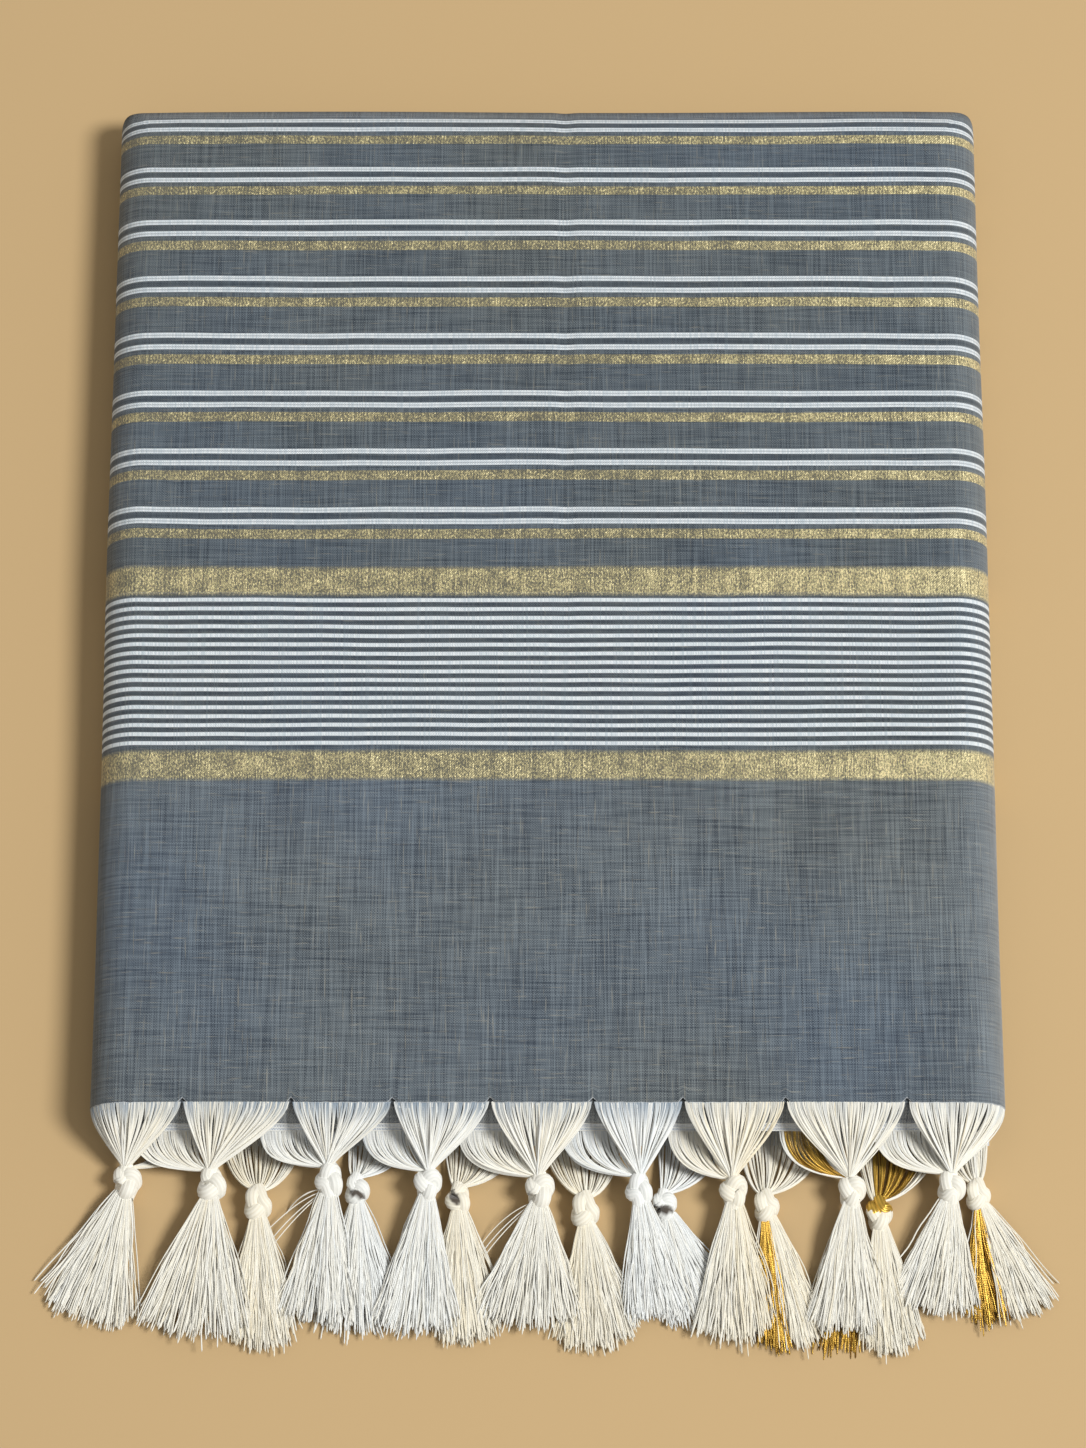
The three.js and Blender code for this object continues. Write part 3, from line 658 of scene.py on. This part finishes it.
# The stretch that is gold, from 0 at the left to 1 at the right
GOLD_SKIRT = {"rear_6": (0.0, 0.46), "rear_8": (0.0, 0.36)}
GOLD_TIPS = {"front_8": (0.12, 0.72)}
GOLD_FAN = {"front_8": (0.06, 0.55), "rear_7": (0.2, 0.86)}
# On a knot, a patch: its middle and half size from the knot's middle, in half widths, and a slant
GOLD_KNOT = {"rear_7": (0.0, 0.75, 1.3, 0.75, 0.0)}
DARK_KNOT = {"rear_2": (0.05, -0.5, 0.75, 0.38, -0.3), "rear_3": (-0.3, -0.1, 0.75, 0.42, -1.0),
             "rear_5": (0.05, -0.5, 0.8, 0.4, -0.1)}
STRAYS = {"front_3": [(-52, 27), (-46, 30), (-60, 22), (-74, 12), (-78, 11)],
          "front_5": [(-58, 22), (-52, 24), (-47, 26)], "front_7": [(24, 20)], "rear_7": [(24, 36)]}
FAN_THREADS, LOWER_THREADS, SKIRT_THREADS, TIP_THREADS = 124, 80, 300, 90
FAN_STEPS, SKIRT_STEPS, STRAY_STEPS = 14, 15, 13
FAN_RADIUS, SKIRT_RADIUS, STRAY_RADIUS = 0.27, 0.22, 0.17
# How much painted blue shade lies on the top of each front fan
FAN_TOP_SHADE = [0.5, 0.55, 0.85, 0.8, 0.5, 0.7, 0.3, 0.25, 0.3]
print(len(TASSELS), "tassels with", FAN_THREADS, "threads in a fan and", SKIRT_THREADS, "in a skirt")

# %% [markdown]
# ## Threads from the cloth to the knot
# Threads leave the cloth at right angles to its edge and bend towards the knot. They cling to
# their neighbours in locks of four or five, which leaves small dark gaps between the locks, and
# the half that passes over the other enters the knot from the far side.

# %% Fans
def locks_of(count, rng):
    """Numbers each thread's lock, and gives its place within it from -1 to 1."""
    borders = np.cumsum(rng.integers(3, 7, count))
    lock = np.searchsorted(borders, np.arange(count), side="right")
    first = np.searchsorted(lock, lock, side="left")
    last = np.searchsorted(lock, lock, side="right") - 1
    return lock, (2 * np.arange(count) - first - last) / np.maximum(last - first, 1)


def fan_paths(starts, tassel, straight, gather, entry, rng):
    """Cubic curves: straight off the edge, more so from far aside, then in from the side along gather."""
    x, y, z = tassel["at"]
    half = tassel["half"]
    count = len(starts)
    side = np.linspace(-1, 1, count)
    crossed = np.where(side * tassel["over"] > 0, 1.0, 0.0)
    layer = rng.uniform(-1, 1, count)
    into = np.stack([
        x + half * (0.3 * side - 0.2 * tassel["over"] * crossed),
        np.full(count, y + half * 0.95),
        z + entry + half * (0.22 * layer + 0.14 * crossed),
    ], axis=1)
    aside = starts[:, 0] - into[:, 0]
    drop = straight[0] + straight[1] * np.abs(aside) + rng.normal(0, 0.5, count)
    off = starts + np.stack([rng.normal(0, 0.2, count), -drop, -0.25 * drop], axis=1)
    bend = into + np.stack([gather[0] * aside, np.full(count, gather[1]), gather[2] + 0.5 * layer], axis=1)
    paths = bezier(starts, off, bend, into, FAN_STEPS)
    k = stations(FAN_STEPS)
    lock, place = locks_of(count, rng)
    pull = rng.uniform(0.05, 0.42, count)[lock]
    belly = np.sin(np.pi * k) ** 1.3
    paths[..., 0] -= (pull * place)[:, None] * belly
    stray = rng.normal(0, 0.12, count) + rng.normal(0, 0.3, count)[lock]
    paths[..., 0] += stray[:, None] * belly * np.sin(3 * k + rng.uniform(0, 3, count)[lock][:, None])
    paths[..., 2] += (rng.normal(0, 0.3, count)[lock] + rng.normal(0, 0.2, count))[:, None] * belly
    paths[..., 2] = np.maximum(paths[..., 2], FAN_RADIUS + 0.06)
    return paths


def edge_points(s, edge, radius_out, radius_up, centre):
    """Starts just inside a ply's edge, in the middle of its wall."""
    return np.stack(wrap(s, np.full_like(s, edge + 0.4), radius_out, radius_up, centre), axis=1)


print("a fan thread has", FAN_STEPS, "stations")

# %% [markdown]
# ## The skirt
# Below the knot the threads spring apart like a bell, then hang nearly side by side. Loose twist
# gives each one a slow wave, and their tips cling in small bunches.

# %% Skirts
def skirt_axes(tassel):
    """The skirt's way down, its way aside, and half its spread at the tips."""
    lean = np.radians(tassel["lean"])
    middle = np.array([np.sin(lean), -np.cos(lean), 0])
    aside = np.array([np.cos(lean), np.sin(lean), 0])
    return middle, aside, tassel["length"] * np.tan(np.radians(tassel["spread"]))


def skirt_paths(tassel, side, layer, lifted, extra, rng):
    """Cubic curves from the knot, spread at first more than at the tips, settling to the surface."""
    x, y, z = tassel["at"]
    half, length = tassel["half"], tassel["length"]
    count = len(side)
    middle, aside, width = skirt_axes(tassel)
    round_off = np.sqrt(np.clip(1 - (side / 1.35) ** 2, 0, 1))
    bunch = np.minimum(np.arange(count) + rng.integers(0, 6, count), count - 1) // 9
    bunches = bunch.max() + 1
    uneven = rng.normal(0, 0.035, count) + rng.normal(0, 0.03, bunches)[bunch]
    reach = length * (1 + uneven) - half * 0.5 - 0.07 * length * side ** 2 + extra
    root = np.array([x, y, z]) + middle * half * 0.75 + aside * (side * half * 0.48)[:, None]
    root[:, 2] += (layer - 0.5) * half * 0.95 * round_off
    pile = SKIRT_RADIUS + 0.1 + layer * (1.2 + 3.0 * round_off) + lifted
    astray = rng.normal(0, 0.13, count)
    # Three places down the skirt: how far, how much of the spread, and how much of the sinking
    spots = []
    for part, wide, sink in ((0.2, 0.24, 0.15), (0.6, 0.64, 0.8), (1.0, 0.97, 1.0)):
        spread = side * wide + astray * part
        spot = root + middle * (reach * part)[:, None] + aside * (spread * width)[:, None]
        spot[:, 2] = root[:, 2] + (pile * (1.3 - 0.6 * part) - root[:, 2]) * sink
        spots.append(spot)
    paths = bezier(root, *spots, SKIRT_STEPS)
    k = stations(SKIRT_STEPS)
    waves = np.sin(rng.uniform(5, 15, count)[:, None] * k + rng.uniform(0, 6.3, count)[:, None])
    together = np.sin(5 * k + rng.uniform(0, 6.3, bunches)[bunch][:, None])
    sway = smooth(k * 1.6) * (0.5 * waves * rng.uniform(0.3, 1.4, count)[:, None] + 0.75 * k * together)
    paths += sway[..., None] * aside
    paths[..., 2] += 0.5 * (k * np.cos(7 * k + bunch[:, None]))
    paths[..., 2] = np.maximum(paths[..., 2], SKIRT_RADIUS + 0.06)
    return paths


print("a skirt thread has", SKIRT_STEPS, "stations")

# %% [markdown]
# ## The mass inside, and strays
# Thousands of threads fill a real skirt. Only the outer ones are drawn, over a core that fills
# the middle, so no light shows through. A few single threads have slipped out of some knots.

# %% Skirt core and stray threads
CORE_RINGS, CORE_SIDES = 12, 28


def skirt_core(tassel, lifted):
    """The mass of threads inside: oval sections that widen down the skirt and flatten to its pile."""
    at, half, length = np.array(tassel["at"]), tassel["half"], tassel["length"]
    middle, aside, spread = skirt_axes(tassel)
    k = np.linspace(0, 1, CORE_RINGS)[:, None]
    angle = circle(CORE_SIDES)
    wide = half * 0.32 + spread * 0.66 * k
    low = at[2] - half * 0.4 + (0.25 + lifted - at[2] + half * 0.4) * smooth(k * 1.3)
    high = at[2] + half * 0.35 + (SKIRT_RADIUS + 2.6 + lifted - at[2] - half * 0.35) * smooth(k * 1.2)
    closing = np.sqrt(np.clip(1 - k ** 8, 0, 1))
    out = np.cos(angle) * wide
    rise = (low + high) / 2 + np.sin(angle) * (high - low) / 2 * closing
    down = half * 0.5 + (length * 0.9 - half * 0.5) * k * (1 - 0.08 * (out / (spread + half)) ** 2)
    points = at[:2] + middle[:2] * down[..., None] + aside[:2] * out[..., None]
    points = np.concatenate([points, rise[..., None]], axis=-1)
    normals = np.cos(angle)[:, None] * aside * 0.3 + np.sin(angle)[:, None] * np.array([0, 0, 1.0])
    normals = np.broadcast_to(normals, points.shape).reshape(-1, 3)
    quads = grid_quads(CORE_RINGS, CORE_SIDES, wrap_columns=True)
    # A turn for each millimetre across makes a bump every 0.5 mm, like threads side by side
    uv = np.stack([out, np.zeros_like(out)], axis=-1).reshape(-1, 2)[quads.ravel()]
    return points.reshape(-1, 3), quads, uv, normals


def stray_paths(tassel, strays, rng):
    """Single threads that have slipped out of the knot: a direction in degrees, and a length."""
    angle, length = np.radians([stray[0] for stray in strays]), np.array([stray[1] for stray in strays])
    way = np.stack([np.sin(angle), -np.cos(angle), np.zeros(len(angle))], axis=1)
    curl = np.stack([np.cos(angle), np.sin(angle), np.zeros(len(angle))], axis=1)
    curl *= np.sign(-angle)[:, None]
    at, half = np.array(tassel["at"]), tassel["half"]
    root = at + way * half * 0.7 + np.array([0, -half * 0.5, 0])
    near = root + way * (0.35 * length)[:, None] - curl * rng.uniform(0, 2, len(angle))[:, None]
    far = root + way * (0.75 * length)[:, None]
    tip = root + way * length[:, None] + curl * rng.uniform(1, 4, len(angle))[:, None]
    near[:, 2], far[:, 2], tip[:, 2] = at[2] * 0.8, 1.5, SKIRT_RADIUS + 0.1
    return bezier(root, near, far, tip, STRAY_STEPS)


print("tassels with stray threads:", ", ".join(STRAYS))

# %% [markdown]
# ## The knot
# An overhand knot is a trefoil opened at one lobe. The whole bundle of threads is drawn as one
# fat rope along that path, pulled so tight that its lobes press together, with fine ridges along
# the rope for its threads.

# %% Knots
KNOT_STEPS, KNOT_SIDES, KNOT_RIDGES = 64, 44, 11


def spline(points, steps):
    """A smooth curve through the points: each stretch is a cubic whose slopes join its neighbours'."""
    padded = np.concatenate([[2 * points[0] - points[1]], points, [2 * points[-1] - points[-2]]])
    place = np.linspace(0, len(points) - 1 - 1e-6, steps)
    i = place.astype(int)
    k = (place - i)[:, None]
    a, b, c, d = (padded[i + shift] for shift in range(4))
    curve = 2 * b + (c - a) * k + (2 * a - 5 * b + 4 * c - d) * k ** 2
    return 0.5 * (curve + (3 * b - a - 3 * c + d) * k ** 3)


def knot_path(turn):
    """The trefoil (sin t + 2 sin 2t, cos t - 2 cos 2t, -3 sin 3t) / 3, turned, its ends led out."""
    t = np.linspace(0.4, 2 * np.pi - 0.4, 13)
    lobes = [np.sin(t) + 2 * np.sin(2 * t), np.cos(t) - 2 * np.cos(2 * t), -3 * np.sin(3 * t)]
    lobes = np.stack(lobes, axis=1) / 3
    cos, sin = np.cos(turn), np.sin(turn)
    lobes[:, :2] = lobes[:, :2] @ np.array([[cos, -sin], [sin, cos]])
    if lobes[0, 1] < lobes[-1, 1]:
        lobes = lobes[::-1]
    return spline(np.concatenate([[[0, 1.45, 0.2]], lobes, [[0, -1.35, 0]]]), KNOT_STEPS)


def knot_arrays(tassel):
    """Rings round the path whose radius swells at each ridge, kept square to the path as it turns."""
    half = tassel["half"]
    path = knot_path(tassel["turn"]) * half * np.array([0.55, 0.85, 0.42]) + np.array(tassel["at"])
    tangent = np.gradient(path, axis=0)
    tangent /= np.linalg.norm(tangent, axis=1, keepdims=True)
    across = np.empty_like(path)
    across[0] = np.cross(tangent[0], [0, 0, 1.0])
    for i in range(1, KNOT_STEPS):
        across[i] = across[i - 1] - tangent[i] * (across[i - 1] @ tangent[i])
        across[i] /= np.linalg.norm(across[i])
    up = np.cross(tangent, across)
    angle = circle(KNOT_SIDES)
    along = np.linspace(0, 1, KNOT_STEPS)
    ridge = np.abs(np.sin(KNOT_RIDGES * (angle + 1.5 * along[:, None]) / 2))
    thick = 0.47 + 0.08 * np.sin(np.pi * along)
    radius = half * thick[:, None] * (0.94 + 0.1 * ridge)
    ring = np.cos(angle)[:, None] * across[:, None] + np.sin(angle)[:, None] * up[:, None]
    points = path[:, None] + radius[..., None] * ring
    points[..., 2] = np.maximum(points[..., 2], 0.12)
    # The surface tilts aside by the slope of each ridge
    beside = np.cos(angle)[:, None] * up[:, None] - np.sin(angle)[:, None] * across[:, None]
    slope = (np.roll(radius, -1, axis=1) - np.roll(radius, 1, axis=1)) / (2 * angle[1] * radius)
    normals = 0.85 * ring - 0.7 * slope[..., None] * beside + np.array([0, 0, 0.15])
    quads = grid_quads(KNOT_STEPS, KNOT_SIDES, wrap_columns=True)
    # Two bumps to each turn of the thread's own finish make 24 fine threads round the rope
    turn = np.broadcast_to(12 * angle / (2 * np.pi), radius.shape)
    length = np.broadcast_to(along[:, None] * 0.0015, radius.shape)
    uv = np.stack([turn, length], axis=-1).reshape(-1, 2)[quads.ravel()]
    # The tone is darker in the grooves between the ridges: painted shade
    return points.reshape(-1, 3), quads, uv, (0.35 + 0.65 * ridge).ravel(), normals.reshape(-1, 3)


rope = np.linalg.norm(np.diff(knot_path(0.0), axis=0), axis=1).sum()
print(f"the rope of a knot runs {rope:.1f} half widths")

# %% [markdown]
# ## Each tassel as one mesh
# Fans, knot, skirt and strays are joined into one mesh for each tassel, so that it replaces one
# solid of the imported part, and each thread keeps its own tone, warmth and finish.

# %% Join the parts of each tassel
COTTON, GOLD = range(2)


def within(places, span):
    """Which places lie in the span, none when there is no span."""
    return (places >= span[0]) & (places <= span[1]) if span else np.zeros(places.shape, bool)


def in_patch(places, patch):
    """How far inside a slanted oval: 1 less (along / length)^2, less (beside / width)^2."""
    if not patch:
        return np.full(len(places), -1.0)
    x, y, length, width, slant = patch
    along = (places[:, 0] - x) * np.cos(slant) + (places[:, 1] - y) * np.sin(slant)
    beside = (places[:, 1] - y) * np.cos(slant) - (places[:, 0] - x) * np.sin(slant)
    return 1 - (along / length) ** 2 - (beside / width) ** 2


def thread_part(paths, radius, sides, finish, warmth, rng, hem=0.0):
    """Tubes for threads, with their values: hem is how much painted blue shade they start with on average,
    gone half way.
    """
    count, steps = paths.shape[:2]
    radii = np.full((count, steps), radius) * rng.uniform(0.85, 1.15, count)[:, None]
    radii[:, [0, -1]] *= 0.03
    points, quads, uv, normals = tube_arrays(paths, radii, sides)
    hem_shaded = np.clip(hem * rng.uniform(0, 2, count), 0, 1)
    fade = hem_shaded[:, None] * (1 - smooth(2.4 * stations(steps)))
    tone = np.where(finish == GOLD, rng.uniform(0, 1, count), rng.normal(0.8, 0.2, count))
    values = {
        "tone": np.repeat(np.clip(tone, 0, 1), steps * sides),
        "warmth": np.repeat(np.clip(warmth + rng.normal(0, 0.12, count), 0, 1), steps * sides),
        "hem": np.repeat(fade.ravel(), sides),
        "smoke": np.zeros(count * steps * sides),
    }
    return points, quads, uv, values, np.repeat(finish, (steps - 1) * sides), normals


def even_values(count, tone, tassel):
    """One tone, and the tassel's mean warmth, on every point, with no hem and no smoke."""
    flat, warmth = np.ones(count), np.mean(tassel["warmth"])
    return {"tone": flat * tone, "warmth": flat * warmth, "hem": flat * 0, "smoke": flat * 0}


def knot_part(name, tassel):
    """The knot with the finish of each of its stretches."""
    points, quads, uv, tone, normals = knot_arrays(tassel)
    place = (points[:, :2] - tassel["at"][:2]) / tassel["half"]
    finish = np.where(in_patch(place[quads].mean(axis=1), GOLD_KNOT.get(name)) > 0, GOLD, COTTON)
    values = even_values(len(points), tone, tassel)
    values["smoke"] = smooth(2 * in_patch(place, DARK_KNOT.get(name)))
    return points, quads, uv, values, finish, normals


def upper_fan(tassel, index, rng):
    """Threads off the top ply's edge, between two of its cuts."""
    # The outermost fans begin a little past the widest part of the rolled sides
    rolled = FLAT_X + ROLL * 1.62
    cuts = np.array([-rolled, *NOTCHES, rolled])
    s = np.linspace(cuts[index] + 0.6, cuts[index + 1] - 0.6, FAN_THREADS)
    s += rng.normal(0, 0.1, FAN_THREADS)
    starts = edge_points(s, NEAR, ROLL - PLY / 2, ROLL - PLY / 2, ROLL)
    paths = fan_paths(starts, tassel, (6.2, 0), (0.24, 4.8, 2.8), 1.2, rng)
    warmth = np.linspace(*tassel["warmth"], FAN_THREADS)
    return thread_part(paths, FAN_RADIUS, 4, np.full(FAN_THREADS, COTTON), warmth, rng, hem=FAN_TOP_SHADE[index])


def lower_fan(name, tassel, raised, rng):
    """Threads off the second ply when raised, or off the ply underneath, from its loose weft on."""
    s = np.linspace(*tassel["fan"], LOWER_THREADS) + rng.normal(0, 0.12, LOWER_THREADS)
    if raised:
        starts = edge_points(s, SECOND_NEAR, SUNK_WIDTH - PLY / 2, SUNK_HEIGHT - PLY / 2, SUNK_CENTRE)
    else:
        starts = np.stack([s, np.full_like(s, UNDER_NEAR + 4.4), np.full_like(s, PLY + 0.3)], axis=1)
    finish = np.where(within(np.linspace(0, 1, LOWER_THREADS), GOLD_FAN.get(name)), GOLD, COTTON)
    paths = fan_paths(starts, tassel, (5, 0.28), (0.5, 0.7, 0.8), 0, rng)
    warmth = np.linspace(*tassel["warmth"], LOWER_THREADS)
    return thread_part(paths, FAN_RADIUS, 4, finish, warmth, rng, hem=0.2)


def skirt_part(name, tassel, lifted, rng):
    """The skirt's outer threads: three in four lie in its upper part, and a few outside its sides."""
    side = np.sort(rng.uniform(-1, 1, SKIRT_THREADS))
    side[rng.uniform(size=SKIRT_THREADS) < 0.06] *= 1.3
    layer = np.where(rng.uniform(size=SKIRT_THREADS) < 0.75, rng.uniform(0.6, 1, SKIRT_THREADS),
                     rng.uniform(0, 0.6, SKIRT_THREADS))
    places = (side + 1) / 2
    gilt = within(places, GOLD_SKIRT.get(name)) & (rng.uniform(size=SKIRT_THREADS) < 0.95)
    warmth = tassel["warmth"][0] + places * (tassel["warmth"][1] - tassel["warmth"][0])
    paths = skirt_paths(tassel, side, layer, lifted, 0.0, rng)
    return thread_part(paths, SKIRT_RADIUS, 3, np.where(gilt, GOLD, COTTON), warmth, rng)


def core_part(name, tassel, lifted):
    """The skirt's core, gold where the threads over it are."""
    points, quads, uv, normals = skirt_core(tassel, lifted)
    places = (np.cos(2 * np.pi * (np.arange(len(quads)) % CORE_SIDES + 0.5) / CORE_SIDES) + 1) / 2
    finish = np.where(within(places, GOLD_SKIRT.get(name)), GOLD, COTTON)
    return points, quads, uv, even_values(len(points), 0.85, tassel), finish, normals


def tips_part(tassel, span, rng):
    """Gold threads under the skirt, each a little longer than the cotton over it."""
    side = np.linspace(*span, TIP_THREADS) * 2 - 1
    layer, longer = np.full(TIP_THREADS, 0.02), rng.uniform(4, 8, TIP_THREADS)
    paths = skirt_paths(tassel, side, layer, 0.3, longer, rng)
    return thread_part(paths, SKIRT_RADIUS, 3, np.full(TIP_THREADS, GOLD), np.zeros(TIP_THREADS), rng)


def strays_part(tassel, strays, rng):
    """The few threads that have slipped out of a knot."""
    count, paths = len(strays), stray_paths(tassel, strays, rng)
    return thread_part(paths, STRAY_RADIUS, 4, np.full(count, COTTON), np.full(count, 0.5), rng)


def make_tassel(name, tassel, index):
    """Fans, knot, skirt and strays of one tassel, joined."""
    rng = np.random.default_rng(100 + index + 50 * name.startswith("rear"))
    # The front tassels lie on the rear ones, apart from the first, which has none under it
    raised = name.startswith("front") and index > 0
    lifted = 2.2 if raised else 0.0
    parts = [knot_part(name, tassel)]
    if name.startswith("front"):
        parts.append(upper_fan(tassel, index, rng))
    parts.append(lower_fan(name, tassel, raised, rng))
    parts.append(skirt_part(name, tassel, lifted, rng))
    parts.append(core_part(name, tassel, lifted))
    if name in GOLD_TIPS:
        parts.append(tips_part(tassel, GOLD_TIPS[name], rng))
    if name in STRAYS:
        parts.append(strays_part(tassel, STRAYS[name], rng))

    points, quads, uv, values, finish, normals = zip(*parts)
    shift = np.cumsum([0] + [len(each) for each in points[:-1]])
    quads = [each + start for each, start in zip(quads, shift)]
    values = {each: np.concatenate([part[each] for part in values]) for each in VALUES}
    points, quads, uv, finish, normals = map(np.concatenate, (points, quads, uv, finish, normals))
    piece = mesh_object(f"tassel_threads_{name}", points, quads, uv, [cotton_thread, gold_thread],
                        values=values, finish_of=finish, normals=normals)
    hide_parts(f"tassel_{name}")
    return piece


for name, tassel in TASSELS.items():
    make_tassel(name, tassel, int(name.split("_")[1]) - 1)

# %% [markdown]
# ## Hem threads
# Where the second ply ends, its last weft threads show as fine white lines. Here they are three
# threads along its edge. The top ply's own edge is so fine that its finish draws it.

# %% Hem threads
def hem_paths():
    """Each line follows its ply's own curve at a fixed length from the near edge."""
    s = np.linspace(-FLAT_X - ROLL * 1.5, FLAT_X + ROLL * 1.5, 900)
    lines = [second_place(s, np.full_like(s, SECOND_NEAR + inside)) for inside in (0.2, 1.1, 2.0)]
    return np.stack([np.stack(line, axis=-1) for line in lines])


hem_rng = np.random.default_rng(7)
hem_points, hem_quads, hem_uv, hem_values, _, hem_normals = thread_part(
    hem_paths(), STRAY_RADIUS, 5, np.full(3, COTTON), np.full(3, 0.3), hem_rng)
hem_threads = mesh_object(
    "hem_threads", hem_points, hem_quads, hem_uv, [cotton_thread], values=hem_values, normals=hem_normals)
print("hem threads:", len(hem_quads), "cells")

# %% [markdown]
# ## What the cloth was cut to
# The whole saree is 5.5 m long and 1.15 m wide, and only these stretches show.

# %% [markdown]
# ## Surface and light
# The packet lies on a plain pale surface, with one large soft light from the right, as from a
# window, and an even fill from all round.

# %% Floor, lights and view
def floor_finish():
    """Smooth card: one pale sand colour, almost matt."""
    finish, _, shader = new_finish("pale_sand_card", roughness=0.9)
    shader.inputs["Base Color"].default_value = linear("#cdaf81")
    return finish


bpy.ops.mesh.primitive_plane_add(size=6, location=(0, 0, 0))
floor = bpy.context.object
floor.name = "floor"
floor.data.materials.append(floor_finish())

key = bpy.data.objects.new("window_light", bpy.data.lights.new("window_light", "AREA"))
key.data.shape = "DISK"
key.data.size = 1.3
key.data.energy = 141
key.location = (2.35, -0.5, 3.3)
aim = -np.array(key.location)
key.rotation_euler = (np.arccos(-aim[2] / np.linalg.norm(aim)), 0, np.arctan2(aim[1], aim[0]) - np.pi / 2)
bpy.context.scene.collection.objects.link(key)

world = bpy.context.scene.world or bpy.data.worlds.new("fill")
bpy.context.scene.world = world
world.use_nodes = True
world.node_tree.nodes["Background"].inputs["Color"].default_value = linear("#f3f1ee")
world.node_tree.nodes["Background"].inputs["Strength"].default_value = 0.37
bpy.context.scene.view_settings.view_transform = "Standard"
print(f"light of {key.data.energy} W, {key.data.size} m across")
